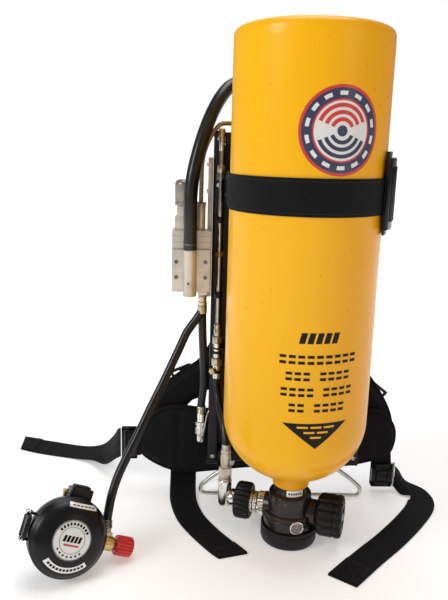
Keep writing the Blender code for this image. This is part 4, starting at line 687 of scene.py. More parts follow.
class Fabric:
    """Sewn work: straps, pads and rows of stitches."""

    @staticmethod
    def values(keys: Sequence[Span], share: float) -> tuple[Vector, Vector, float]:
        """Returns the centre, the direction across and the width at a share of a strap's keys."""
        flat = [(*centre, *across, width) for centre, across, width in keys]
        found = curve_point(flat, share * (len(flat) - 1))
        return Vector(found[:3]), Vector(found[3:6]).normalized(), found[6]

    @classmethod
    def surface(cls, keys: Sequence[Span], share: float, across: float, lift: float) -> Vector:
        """Returns a point on a strap, across it from -0.5 to 0.5, lifted off its face."""
        centre, side, width = cls.values(keys, share)
        ahead = cls.values(keys, min(share + 0.01, 1.0))[0] - cls.values(keys, max(share - 0.01, 0.0))[0]
        return centre + side * width * across + side.cross(ahead).normalized() * lift

    @classmethod
    def length(cls, keys: Sequence[Span]) -> float:
        """Returns a strap's length along its middle."""
        points = [cls.values(keys, i / 60)[0] for i in range(61)]
        return sum((b - a).length for a, b in zip(points, points[1:]))

    @classmethod
    def strap(cls, shape: Shape, keys: Sequence[Span], thickness: float, steps: int = 72, start: float = 0.0,
              end: float = 1.0, lift: float = 0.0, narrow: float = 1.0) -> Shape:
        """Adds a woven strap along keys.

        Args:
            shape: The piece that takes it.
            keys: Centre, direction across and width, in order along it.
            thickness: How thick it is.
            steps: Faces along it.
            start: The share of the keys where it starts.
            end: The share where it ends.
            lift: How far off the keys' face it lies, for a second layer.
            narrow: The share of the keys' width that it has.

        Returns:
            The piece.
        """
        reach = cls.length(keys) * (end - start)
        width = cls.values(keys, (start + end) / 2)[2] * narrow

        def place(u: float, v: float) -> Vector:
            """Gives the point for a share across and along."""
            return cls.surface(keys, start + (end - start) * v, (u - 0.5) * narrow, lift)

        return shape.bent(8, steps, place, (width, reach), thickness=thickness, rounding=thickness * 0.25)

    @staticmethod
    def stitches(shape: Shape, points: Sequence[Vector], ups: Sequence[Vector], pitch: float = 0.0042,
                 size: tuple[float, float, float] = (0.0029, 0.0007, 0.0005)) -> Shape:
        """Adds a row of stitches along points.

        Args:
            shape: The piece that takes them.
            points: The row's line.
            ups: The way off the cloth at each point.
            pitch: From one stitch to the next.
            size: A stitch's length, width and height.

        Returns:
            The piece.
        """
        travelled, due = 0.0, pitch / 2
        for i, (a, b) in enumerate(zip(points, points[1:])):
            leg = (b - a).length
            while leg > 0 and due <= travelled + leg:
                ahead = (b - a).normalized()
                side = ups[i].cross(ahead).normalized()
                up = ahead.cross(side)
                turn = Matrix((ahead, side, up)).transposed().to_4x4()
                place = Matrix.Translation(a.lerp(b, (due - travelled) / leg)) @ turn
                half = Vector(size) / 2
                bm = shape._fresh()
                bmesh.ops.create_cube(bm, size=1.0)
                bmesh.ops.scale(bm, vec=size, verts=bm.verts)
                for vert in bm.verts:
                    if vert.co.z > 0:
                        vert.co.x *= 0.6
                        vert.co.y *= 0.5
                    else:
                        vert.co.z -= half.z
                shape.join(bm, place)
                due += pitch
            travelled += leg
        return shape

    @classmethod
    def seam(cls, shape: Shape, keys: Sequence[Span], across: float, lift: float, start: float = 0.02,
             end: float = 0.98, count: int = 90) -> Shape:
        """Adds a row of stitches along a strap, across it from -0.5 to 0.5."""
        shares = [start + (end - start) * i / count for i in range(count + 1)]
        points = [cls.surface(keys, s, across, lift) for s in shares]
        ups = [cls.surface(keys, s, across, lift * 2) - p for s, p in zip(shares, points)]
        return cls.stitches(shape, points, ups)

    @classmethod
    def box_stitch(cls, shape: Shape, keys: Sequence[Span], start: float, end: float, lift: float) -> Shape:
        """Adds the box and cross of stitches that fastens a strap's end."""
        corners = [(start, -0.38), (end, -0.38), (end, 0.38), (start, 0.38), (start, -0.38), (end, 0.38),
                   (end, -0.38), (start, 0.38)]
        for (s0, a0), (s1, a1) in zip(corners, corners[1:]):
            steps = [i / 6 for i in range(7)]
            points = [cls.surface(keys, s0 + (s1 - s0) * t, a0 + (a1 - a0) * t, lift) for t in steps]
            ups = [cls.surface(keys, s0 + (s1 - s0) * t, a0 + (a1 - a0) * t, lift * 2) - p
                   for t, p in zip(steps, points)]
            cls.stitches(shape, points, ups, 0.0036)
        return shape

    @staticmethod
    def puffed(shape: Shape, voxel: float, most: float, pressure: float = 4.0) -> Shape:
        """Inflates a closed form as sewn padding, by cloth simulation.

        Args:
            shape: The slightly thin form.
            voxel: The size of the even mesh that it is made into.
            most: How far a point may move.
            pressure: The pressure inside.

        Returns:
            The padded form.
        """
        mesh = bpy.data.meshes.new("padding")
        shape.bm.to_mesh(mesh)
        shape.bm.free()
        work = bpy.data.objects.new("padding", mesh)
        bpy.context.scene.collection.objects.link(work)
        even = work.modifiers.new("even", "REMESH")
        even.mode = "VOXEL"
        even.voxel_size = voxel
        graph = bpy.context.evaluated_depsgraph_get()
        remade = bpy.data.meshes.new_from_object(work.evaluated_get(graph))
        work.modifiers.remove(even)
        work.data = remade
        start = [v.co.copy() for v in remade.vertices]
        moved = start
        cloth = work.modifiers.new("air", "CLOTH")
        cloth.settings.use_pressure = True
        cloth.settings.uniform_pressure_force = pressure
        cloth.settings.effector_weights.gravity = 0.0
        cloth.settings.quality = 5
        cloth.point_cache.frame_start = 1
        cloth.point_cache.frame_end = 20
        for step in range(1, 21):
            bpy.context.scene.frame_set(step)
        graph = bpy.context.evaluated_depsgraph_get()
        moved = [v.co.copy() for v in work.evaluated_get(graph).data.vertices]
        bpy.context.scene.frame_set(1)
        result = Shape()
        result.bm.from_mesh(remade)
        result.bm.verts.ensure_lookup_table()
        for vert, a, b in zip(result.bm.verts, start, moved):
            shift = b - a
            vert.co = a + (shift.normalized() * min(shift.length, most) if shift.length > 0 else shift)
        bmesh.ops.smooth_vert(result.bm, verts=result.bm.verts, factor=0.5, use_axis_x=True, use_axis_y=True,
            use_axis_z=True)
        bpy.data.objects.remove(work, do_unlink=True)
        return result


def finish(name: str, shape: Shape, look: Finish, body: str = ROOT, replaces: Sequence[str] = (),
           smooth: float = 36.0, soften: int = 0) -> bpy.types.Object:
    """Makes a piece from a shape, gives it its finish and rides it on its body.

    Args:
        name: The piece's name.
        shape: Its mesh, in place.
        look: Its finish.
        body: The body that it moves with.
        replaces: The CAD nodes that it stands for.
        smooth: The angle in degrees past which an edge stays sharp.
        soften: Levels of subdivision.

    Returns:
        The piece's object.
    """
    mesh = bpy.data.meshes.new(name)
    shape.bm.to_mesh(mesh)
    shape.bm.free()
    mesh.materials.append(look.material())
    mesh.shade_smooth()
    mesh.set_sharp_from_angle(angle=math.radians(smooth))
    piece = bpy.data.objects.new(name, mesh)
    bpy.context.scene.collection.objects.link(piece)
    if soften:
        rounder = piece.modifiers.new("soften", "SUBSURF")
        rounder.levels = rounder.render_levels = soften
    if replaces:
        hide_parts(*replaces)
    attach(piece, body)
    LOG.info("%s: %s on %s", name, look.name, body)
    return piece


def dress(look: Finish, *nodes: str) -> None:
    """Gives a finish to parts of the frame that stay as they are."""
    for node in nodes:
        for slot in bpy.data.objects[node].material_slots:
            slot.material = look.material()
        LOG.info("%s: %s", node, look.name)


# ---------------------------------------------------------------- studio
@dataclass
class Studio:
    """The camera, the lights, the white room and the floor."""

    camera_place: Colour = (-0.1099, -0.782, 0.4994)
    right: Colour = (0.9995, -0.0167, 0.0259)
    up: Colour = (-0.0214, 0.2274, 0.9736)
    forward: Colour = (0.0221, 0.9737, -0.2269)
    lens: float = 40.0
    floor_size: float = 30.0
    room: float = 0.24

    def build(self) -> None:
        """Sets the scene up."""
        scene = bpy.context.scene
        data = bpy.data.cameras.new("camera")
        data.lens = self.lens
        data.sensor_width = 36.0
        data.clip_start = 0.01
        camera = bpy.data.objects.new("camera", data)
        back = -Vector(self.forward)
        turn = Matrix((Vector(self.right), Vector(self.up), back)).transposed().to_4x4()
        camera.matrix_world = Matrix.Translation(self.camera_place) @ turn
        scene.collection.objects.link(camera)
        scene.camera = camera
        scene.view_settings.view_transform = "Standard"
        self._lights(scene)
        bm = bmesh.new()
        bmesh.ops.create_grid(bm, x_segments=4, y_segments=4, size=self.floor_size / 2)
        mesh = bpy.data.meshes.new("floor")
        bm.to_mesh(mesh)
        bm.free()
        mesh.materials.append(FLOOR_WHITE.material())
        floor = bpy.data.objects.new("floor", mesh)
        scene.collection.objects.link(floor)

    def _lights(self, scene: bpy.types.Scene) -> None:
        """Adds the pale room and the soft boxes."""
        world = bpy.data.worlds.new("white_room")
        world.use_nodes = True
        tree = world.node_tree
        path, level = tree.nodes.new("ShaderNodeLightPath"), tree.nodes.new("ShaderNodeMapRange")
        tree.links.new(path.outputs["Is Camera Ray"], level.inputs["Value"])
        level.inputs["To Min"].default_value = self.room
        level.inputs["To Max"].default_value = 1.0
        tree.nodes["Background"].inputs["Color"].default_value = (1.0, 1.0, 1.0, 1.0)
        tree.links.new(level.outputs["Result"], tree.nodes["Background"].inputs["Strength"])
        scene.world = world
        neutral, warm = (1.0, 1.0, 1.0), (1.0, 0.80, 0.60)
        for name, place, size, power, colour in (
            ("key_light", (-1.9, -1.1, 1.5), 1.0, 23.0, neutral),
            ("fill_light", (1.6, -1.5, 1.2), 1.2, 4.2, warm),
            ("top_light", (0.1, 0.3, 2.4), 1.6, 26.0, neutral),
            ("back_light", (0.2, 2.0, 1.5), 1.4, 8.0, neutral),
        ):
            data = bpy.data.lights.new(name, "AREA")
            data.shape = "DISK"
            data.size = size
            data.energy = power
            data.color = colour
            light = bpy.data.objects.new(name, data)
            light.location = place
            light.rotation_euler = (Vector((-0.05, 0.0, 0.25)) - Vector(place)).to_track_quat("-Z",
                "Y").to_euler()
            scene.collection.objects.link(light)


# ---------------------------------------------------------------- cylinder
@dataclass
class Cylinder:
    """The air cylinder, its printing and its band."""

    radius: float = 0.089
    top: float = 0.630
    crown: float = 0.022
    dome_start: float = 0.173
    dome_depth: float = 0.083
    neck: float = 0.0234
    neck_bottom: float = 0.0777
    ink: float = 0.00016
    band_reach: float = 0.0902
    band_level: float = 0.448
    band_width: float = 0.040
    band_thickness: float = 0.0018
    leg_end: float = 0.0947

    def profile(self) -> list[tuple[float, float]]:
        """Returns the bottle's outline, from its closed end down to its neck."""
        points = []
        for i in range(17):
            angle = math.pi / 2 * (1 - i / 16)
            across = max(math.cos(angle), 0.0) ** 0.4 if i else 0.0
            points.append((self.radius * across, self.top - self.crown + self.crown * max(math.sin(angle),
                0.0) ** 0.4))
        last = math.acos(self.neck / self.radius)
        for i in range(19):
            angle = last * i / 18
            points.append((self.radius * math.cos(angle), self.dome_start - self.dome_depth * math.sin(angle)))
        throat = self.neck * 0.64
        points += [(self.neck, self.neck_bottom + 0.0015), (self.neck - 0.0015, self.neck_bottom)]
        return points + [(throat, self.neck_bottom), (throat, self.neck_bottom + 0.004),
            (0.0, self.neck_bottom + 0.004)]

    def wrapped(self, degrees: float, across: float, height: float) -> tuple[float, float, float]:
        """Returns the point this far across from an angle on the wall, measured from the front towards +X."""
        angle = math.radians(degrees) + across / self.radius
        reach = self.radius + self.ink
        return reach * math.sin(angle), -reach * math.cos(angle), height

    def mark(self, shape: Shape, degrees: float, height: float, size: tuple[float, float],
             across: float = 0.0, slant: float = 0.0) -> None:
        """Adds one printed bar to a shape, its middle this far across from an angle."""
        width, tall = size
        shape.bent(
            4, 1,
            lambda u, v: self.wrapped(degrees, across + (u - 0.5) * width + (v - 0.5) * slant,
            height + (v - 0.5) * tall),
            thickness=self.ink,
        )

    def disc(self, name: str, look: Finish, inner: float, outer: float, layer: int,
        turn: tuple[float, float] = (0, 1)) -> None:
        """Prints a ring or a disc of the round badge, or a part of one between two shares of a turn."""
        def place(u: float, v: float) -> tuple[float, float, float]:
            """Gives the point for a share of a turn and a share of the radius."""
            reach = inner + (outer - inner) * v
            angle = TAU * (turn[0] + (turn[1] - turn[0]) * u)
            x, y, z = self.wrapped(14.0, reach * math.cos(angle), 0.516 + reach * math.sin(angle))
            lift = 1 + layer * self.ink / self.radius
            return x * lift, y * lift, z
        finish(name, Shape().bent(72, 3, place, thickness=self.ink), look)

    def build(self) -> None:
        """Builds the bottle, its printing and the band."""
        finish("air_cylinder", Shape().turned(self.profile(), steps=128), YELLOW, replaces=["cylinder_shell"],
            smooth=50)
        dress(BARE_ALUMINIUM, "cylinder_liner")
        rows = ((0.2722, 0.0112, 0.01035, (9,)), (0.2530, 0.0108, 0.0098, (3, 4)),
            (0.2344, 0.0108, 0.0098, (4, 4)),
                (0.2160, 0.0108, 0.0098, (2, 4)))
        ink = Shape()
        for height, tall, pitch, words in rows:
            cells = sum(words) + (len(words) - 1) * 0.9
            at = -cells * pitch / 2
            for letters in words:
                for _ in range(letters):
                    for side in (-1, 1):
                        self.mark(ink, 8.5, height + side * tall * 0.31, (pitch * 0.72, tall * 0.30),
                            at + pitch / 2)
                    at += pitch
                at += 0.9 * pitch
        for i in range(5):
            self.mark(ink, 7.5, 0.2968, (0.0066, 0.0122), (i - 2) * 0.0092, 0.0030)
        finish("cylinder_marks", ink, INK_BLACK)
        triangle = Shape().bent(
            16, 8, lambda u, v: self.wrapped(8.3, (u - 0.5) * 0.077 * v, 0.1670 + 0.0305 * v),
            thickness=self.ink)
        finish("triangle_mark", triangle, INK_BLACK)
        notes = Shape()
        self.ink *= 2.4
        for row, (height, count) in enumerate(((0.1930, 3), (0.1868, 2), (0.1808, 1))):
            for i in range(count):
                self.mark(notes, 8.3, height, (0.0125, 0.0022), (i - (count - 1) / 2) * 0.0155)
        self.ink /= 2.4
        finish("triangle_notes", notes, YELLOW)
        self.disc("badge_rim", INK_RED, 0.0425, 0.0455, 0)
        self.disc("badge_border", INK_BLUE, 0.0318, 0.0425, 0)
        self.disc("badge_inner_line", INK_RED, 0.0300, 0.0318, 0)
        self.disc("badge_field", INK_WHITE, 0.0, 0.0300, 0)
        for i in range(14):
            start = 0.02 + i / 14
            self.disc(f"badge_dash_{i + 1}", INK_WHITE, 0.0352, 0.0392, 1, (start, start + 0.036))
        for i, (inner, outer) in enumerate(((0.0235, 0.0275), (0.0165, 0.0205), (0.0095, 0.0135))):
            self.disc(f"badge_arch_{i + 1}", INK_RED, inner, outer, 1, (0.06, 0.44))
            self.disc(f"badge_bowl_{i + 1}", INK_BLUE, inner, outer, 1, (0.56, 0.94))
        self.disc("badge_hub", INK_BLUE, 0.0, 0.0055, 1)
        self._band()

    def around(self, share: float, reach: float) -> tuple[float, float]:
        """Returns the place at a share of the band's run, from its left leg to its right leg."""
        leg, half = self.leg_end, math.pi * reach
        at = share * (2 * leg + half)
        if at < leg:
            return -reach, leg - at
        if at > leg + half:
            return reach, at - leg - half
        angle = math.pi + (at - leg) / reach
        return reach * math.cos(angle), reach * math.sin(angle)

    def _band(self) -> None:
        """Builds the band with its rolled edges and its rows of stitches."""
        low, reach = self.band_level - self.band_width / 2, self.band_reach
        run = 2 * self.leg_end + math.pi * reach
        band = Shape().bent(
            8, 110, lambda u, v: (*self.around(v, reach), low + self.band_width * u),
            (self.band_width, run), thickness=self.band_thickness, rounding=0.0004)
        finish("cylinder_band_strap", band, STRAP_BLACK, replaces=["cylinder_band"])
        seams = Shape()
        for height in (low + 0.0035, low + self.band_width - 0.0035):
            points = [Vector((*self.around(i / 120, reach + 0.0009), height)) for i in range(2, 119)]
            ups = [Vector((p.x, min(p.y, 0.0), 0.0)).normalized() for p in points]
            Fabric.stitches(seams, points, ups)
        finish("cylinder_band_stitches", seams, THREAD_GREY)
        pins = Shape()
        for side in (-1, 1):
            for height in (-0.011, 0.011):
                pins.screw(lay((side, 0, 0), (side * (reach + 0.0009), 0.078, self.band_level + height)),
                    0.0028)
        finish("cylinder_band_screws", pins, DARK_STEEL)


@dataclass
class BandLatch:
    """The cam latch on the band's right side."""

    inner: float = 0.0944
    thickness: float = 0.0052
    low: float = 0.4116
    high: float = 0.4901
    front: float = -33.0
    end: float = 0.0300
    pin: tuple[float, float] = (0.0992, 0.0310)

    def strip(self, reach: float, thickness: float, low: float, high: float, start: float, end: float,
              rounding: float) -> Shape:
        """Returns a strip that follows the band from an angle in front back to a Y."""
        curve = arc(reach, start, 0.0, 13) + [(reach, end * (i + 1) / 4) for i in range(4)]
        return Shape().bent(
            16, 1, lambda u, v: (*curve[round(u * 16)], low + (high - low) * v), thickness=thickness,
            rounding=rounding)

    def build(self) -> None:
        """Builds the lever with its ribs, finger lip and knuckle."""
        middle = self.inner + self.thickness / 2
        lever = self.strip(middle, self.thickness, self.low, self.high, self.front, self.end, 0.0012)
        lever.rod(0.0045, self.low, self.high, Matrix.Translation((*self.pin, 0)), 32, 0.0008)
        outer = self.inner + self.thickness
        for i in range(6):
            angle = math.radians(self.front + 3.0 + i * 3.4)
            place = Matrix.Rotation(angle, 4, "Z") @ Matrix.Translation((outer, 0, 0.4508))
            lever.block((-0.0008, -0.0009, -0.030), (0.0012, 0.0009, 0.030), 0.0006, place)
        finish("band_latch_lever", lever, PLASTIC_BLACK, "band_latch", ["latch_lever"])
        panel = self.strip(outer + 0.0002, 0.0012, self.low + 0.010, self.high - 0.010, -8.0, 0.0180, 0.0004)
        finish("band_latch_panel", panel, COATED_BLACK, "band_latch")
        screws = Shape()
        for height in (self.low + 0.016, self.high - 0.016):
            screws.screw(lay((1, 0, 0), (outer + 0.0007, 0.009, height)), 0.0026)
        finish("band_latch_screws", screws, DARK_STEEL, "band_latch")
        dress(COATED_BLACK, "latch_base")
        dress(STEEL, "latch_pin")


# ---------------------------------------------------------------- valve
@dataclass
class Valve:
    """The cylinder valve, its gauge, its hand wheel and the high pressure coupling."""

    axis_height: float = 0.0415
    lower_radius: float = 0.0330
    lower_top: float = 0.0420
    collar_top: float = 0.0774
    boss_radius: float = 0.0165
    boss_left: float = 0.0325
    boss_right: float = 0.0360
    wheel_start: float = 0.0365
    wheel_length: float = 0.0330
    wheel_radius: float = 0.0270
    elbow_reach: float = 0.0880
    turn: Matrix = Matrix.Rotation(math.radians(-18), 4, "Z")

    def across(self, start: float = 0.0, side: int = 1) -> Matrix:
        """Returns the place of a shape turned about the cross axis, starting this far out on one side."""
        return self.turn @ lay((side, 0, 0), (side * start, 0, self.axis_height))

    def build(self) -> None:
        """Builds everything on the valve."""
        self._body()
        self._gauge()
        self._hand_wheel()
        self._coupling()
        self._elbow()

    def _body(self) -> None:
        """Builds the turned body with its cross boss, and the rubber bumper under it."""
        low, top, wide = 0.0033, self.collar_top, self.lower_radius
        body = Shape().turned([
            (0, top + 0.004), (0.0104, top + 0.004), (0.0104, top), (0.0205, top), (0.0205, top - 0.0030),
            (0.0190, top - 0.0034), (0.0190, top - 0.0058), (0.0205, top - 0.0062), (0.0205, top - 0.0090),
            (0.0270, top - 0.0115), (0.0290, self.lower_top + 0.0060), (0.0290, self.lower_top + 0.0012),
            (wide, self.lower_top), (wide, self.lower_top - 0.0045), (wide - 0.0009, self.lower_top - 0.0050),
            (wide - 0.0009, self.lower_top - 0.0062), (wide, self.lower_top - 0.0067), (wide, low), (0, low),
        ], self.turn, 96, 0.0004)
        body.turned([
            (0, self.boss_right), (0.0060, self.boss_right), (0.0150, self.boss_right),
            (self.boss_radius, self.boss_right - 0.0012), (self.boss_radius, -self.boss_left),
            (0, -self.boss_left),
        ], self.across(), 64, 0.0004)
        finish("cylinder_valve_body", body, VALVE_BROWN, replaces=["valve_body"])
        outlet = Shape().turned([
            (0.0104, self.boss_left + 0.0090), (0.0146, self.boss_left + 0.0090),
            (0.0155, self.boss_left + 0.0080), (0.0155, self.boss_left), (0.0104, self.boss_left)],
            self.across(side=-1), 96, 0.0002, 24, 0.0011, 0.0140)
        finish("valve_outlet_ring", outlet, CHROME)
        spigot = Shape().rod(0.0085, self.boss_left, self.boss_left + 0.0235, self.across(side=-1), 48)
        finish("valve_outlet_spigot", spigot, BRASS)
        trim = Shape()
        for i in range(8):
            angle = TAU * i / 8
            outward = (math.cos(angle), math.sin(angle), 0)
            trim.screw(self.turn @ lay(outward, (0.0269 * outward[0], 0.0269 * outward[1], 0.0600)), 0.0018,
                0.0010)
        finish("valve_body_screws", trim, DARK_STEEL)
        plate = Shape()
        for width, tall, height, layer in ((0.022, 0.0085, 0.0722, 0.0), (0.019, 0.0010, 0.0746, 0.0005),
            (0.019, 0.0010, 0.0700, 0.0005)):
            plate.bent(12, 1, lambda u, v: self._wall(0.0208 + layer, (u - 0.5) * width,
                height + (v - 0.5) * tall), thickness=0.0005)
        finish("valve_name_plate", plate, FOIL)
        lines = Shape()
        for i in range(6):
            lines.bent(2, 1, lambda u, v: self._wall(0.0213, (i - 2.5) * 0.0031 + (u - 0.5) * 0.0019,
                0.0723 + (v - 0.5) * 0.0024), thickness=0.0003)
        finish("valve_name_plate_lines", lines, INK_BLACK)
        inner, high, wall = wide + 0.0003, 0.0225, 0.003
        bumper = Shape().turned([
            (0, 0.003), (inner, 0.003), (inner, high), (inner + wall, high), (inner + wall, 0.0195),
            (inner + wall - 0.0008, 0.019), (inner + wall - 0.0008, 0.0175), (inner + wall, 0.017),
            (inner + wall, 0.005), (inner + 0.0015, 0.0012), (inner - 0.002, 0.0), (0, 0.0)], self.turn, 120,
            0.0004)
        finish("valve_rubber_bumper", bumper, RUBBER_BLACK, replaces=["valve_bumper"])

    def _wall(self, reach: float, across: float, height: float) -> tuple[float, float, float]:
        """Returns a point on the valve's front wall."""
        angle = math.radians(10) + across / reach
        return reach * math.sin(angle), -reach * math.cos(angle), height

    def _gauge(self) -> None:
        """Builds the small contents gauge in the valve's front, with its dial and lens."""
        tilt = math.radians(28)
        place = self.turn @ lay((math.sin(tilt), -math.cos(tilt), 0.0), (0, 0, 0.0325))
        case = Shape().turned([
            (0, 0.0320), (0.0074, 0.0320), (0.0074, 0.0343), (0.0079, 0.0348), (0.0088, 0.0345),
            (0.0090, 0.0335), (0.0088, 0.0178), (0, 0.0178)], place, 64, 0.0001)
        finish("cylinder_gauge_case", case, CHROME, replaces=["gauge_case"])
        Dial(place, 0.0322, 0.0070, 9, "cylinder_gauge").build()
        finish("cylinder_gauge_lens", Shape().turned([(0, 0.0342), (0.0073, 0.0340), (0.0073, 0.0337),
            (0, 0.0339)], place, 48), LENS)
        dress(RED, "gauge_pointer")

    def _hand_wheel(self) -> None:
        """Builds the lobed rubber hand wheel with its cap."""
        long, wide = self.wheel_length, self.wheel_radius
        place = self.across(self.wheel_start)
        wheel = Shape().turned([
            (0, long - 0.002), (0.0125, long - 0.002), (0.0135, long), (wide - 0.004, long),
            (wide - 0.0012, long - 0.0014), (wide, long - 0.004), (wide, 0.024), (wide - 0.0012, 0.0232),
            (wide - 0.0012, 0.0222), (wide, 0.0214), (wide, 0.006), (wide - 0.0015, 0.003), (wide - 0.006, 0),
            (0.0055, 0), (0.0055, 0.0108), (0, 0.0108)], place, 180, 0.0004, 15, 0.0024, wide - 0.006, 2.2)
        finish("valve_hand_wheel_grip", wheel, RUBBER_BLACK, "valve_control", ["valve_hand_wheel"])
        finish("valve_hand_wheel_nut", Shape().prism(6, 0.0042, long - 0.002, long + 0.0002, place), STEEL,
            "valve_control")
        finish("valve_hand_wheel_washer", Shape().ring(0.0030, 0.0085, long - 0.0022, long - 0.0012, place),
            STEEL, "valve_control")
        dress(STEEL, "valve_stem")

    def _coupling(self) -> None:
        """Builds the coupling nut and its ribbed hand wheel."""
        place = self.across(0.0420, -1)
        nut = Shape().turned([
            (0.0088, 0.022), (0.0128, 0.022), (0.0140, 0.0205), (0.0140, 0.0072), (0.0131, 0.0066),
            (0.0131, 0.0056), (0.0140, 0.0050), (0.0140, 0.0014), (0.0128, 0), (0.0088, 0)], place, 96, 0.0003,
            30, 0.0005, 0.0134)
        finish("coupling_nut_plated", nut, CHROME, "outlet_coupling", ["coupling_nut"])
        wheel = Shape().turned([
            (0.0143, 0.0195), (0.0155, 0.021), (0.0205, 0.021), (0.0228, 0.0200), (0.0240, 0.017),
            (0.0240, 0.0040), (0.0228, 0.0012), (0.0205, 0), (0.0155, 0), (0.0143, 0.0015)],
            self.across(0.0505, -1), 160, 0.0004, 20, 0.0018, 0.0195, 2.0)
        finish("coupling_wheel_grip", wheel, RUBBER_BLACK, "outlet_coupling", ["coupling_hand_wheel"])

    def _elbow(self) -> None:
        """Builds the plated elbow, its swivel collar and the fitting that stands on it."""
        side = self.across(side=-1)
        elbow = Shape().turned([
            (0, self.elbow_reach), (0.0075, self.elbow_reach), (0.0075, 0.0790), (0.0120, 0.0788),
            (0.0120, 0.0722), (0.0085, 0.0720), (0.0085, 0.0563), (0, 0.0563)], side, 64, 0.0004)
        upright = self.turn @ Matrix.Translation((-self.elbow_reach, 0, 0))
        elbow.turned([
            (0, 0.0672), (0.0078, 0.0672), (0.0090, 0.0655), (0.0090, 0.0345), (0.0080, 0.0318),
            (0.0060, 0.0306), (0, 0.0305),
        ], upright, 64, 0.0003)
        elbow.prism(6, 0.0068, 0.0300, 0.0316, upright)
        finish("hose_elbow_plated", elbow, CHROME, replaces=["hose_elbow"])
        nut = Shape().prism(6, 0.0078, 0.0690, 0.0850, upright, 0.0005)
        nut.ring(0.0030, 0.0084, 0.0668, 0.0692, upright).ring(0.0030, 0.0070, 0.0848, 0.0872, upright)
        finish("hose_fitting_nut", nut, NICKEL)
        sleeve = Shape().turned([
            (0, 0.1100), (0.0062, 0.1100), (0.0068, 0.1092), (0.0068, 0.1055), (0.0063, 0.1050),
            (0.0063, 0.1035), (0.0068, 0.1030), (0.0070, 0.0905), (0.0064, 0.0900), (0.0064, 0.0868),
            (0, 0.0868)], upright, 48, 0.0002)
        finish("hose_fitting_sleeve", sleeve, NICKEL)
        studs = Shape().prism(6, 0.0098, 0.0722, 0.0770, side, 0.0004).ring(0.0080, 0.0104, 0.0790, 0.0806,
            side)
        finish("elbow_swivel_nut", studs, STEEL)


@dataclass
class Dial:
    """A round dial: its card, its marks and its numbers."""

    place: Matrix
    level: float
    radius: float
    marks: int
    name: str
    numbers: Sequence[int] = ()

    def build(self) -> None:
        """Builds the dial on its case."""
        finish(f"{self.name}_dial", Shape().rod(self.radius, self.level - 0.0004, self.level, self.place, 48,
            0.0), DIAL_WHITE)
        lines = Shape()
        for i in range(self.marks):
            angle = math.radians(90 - 270 * i / (self.marks - 1))
            long = self.radius * (0.22 if i % 2 == 0 else 0.13)
            turn = self.place @ Matrix.Rotation(angle, 4, "Z")
            half = self.radius * 0.022
            lines.block((self.radius * 0.94 - long, -half, self.level),
                (self.radius * 0.94, half, self.level + 0.00012), 0.0, turn)
        lines.rod(self.radius * 0.11, self.level, self.level + 0.0003, self.place, 24, 0.0)
        for i, number in enumerate(self.numbers):
            angle = math.radians(90 - 270 * i / (len(self.numbers) - 1))
            data = bpy.data.curves.new("number", "FONT")
            data.body = str(number)
            data.size = self.radius * 0.27
            data.align_x = data.align_y = "CENTER"
            data.extrude = 0.00006
            text = bpy.data.objects.new("number", data)
            bpy.context.scene.collection.objects.link(text)
            flat = bpy.data.meshes.new_from_object(text.evaluated_get(bpy.context.evaluated_depsgraph_get()))
            bpy.data.objects.remove(text, do_unlink=True)
            bm = Shape._fresh()
            bm.from_mesh(flat)
            at = (self.radius * 0.58 * math.cos(angle), self.radius * 0.58 * math.sin(angle),
                self.level + 0.0001)
            lines.join(bm, self.place @ Matrix.Translation(at) @ Matrix.Rotation(math.radians(-135), 4, "Z"),
                facing=False)
        finish(f"{self.name}_marks", lines, INK_BLACK)
        finish(f"{self.name}_low_band", Shape().bent(24, 1, self._low_band, thickness=0.0001), RED)

    def _low_band(self, u: float, v: float) -> Vector:
        """Returns a point on the red band, a share along it and a share out."""
        reach, angle = self.radius * (0.80 + 0.10 * v), math.radians(90 - 60 * u)
        return self.place @ Vector((reach * math.cos(angle), reach * math.sin(angle), self.level + 0.00016))


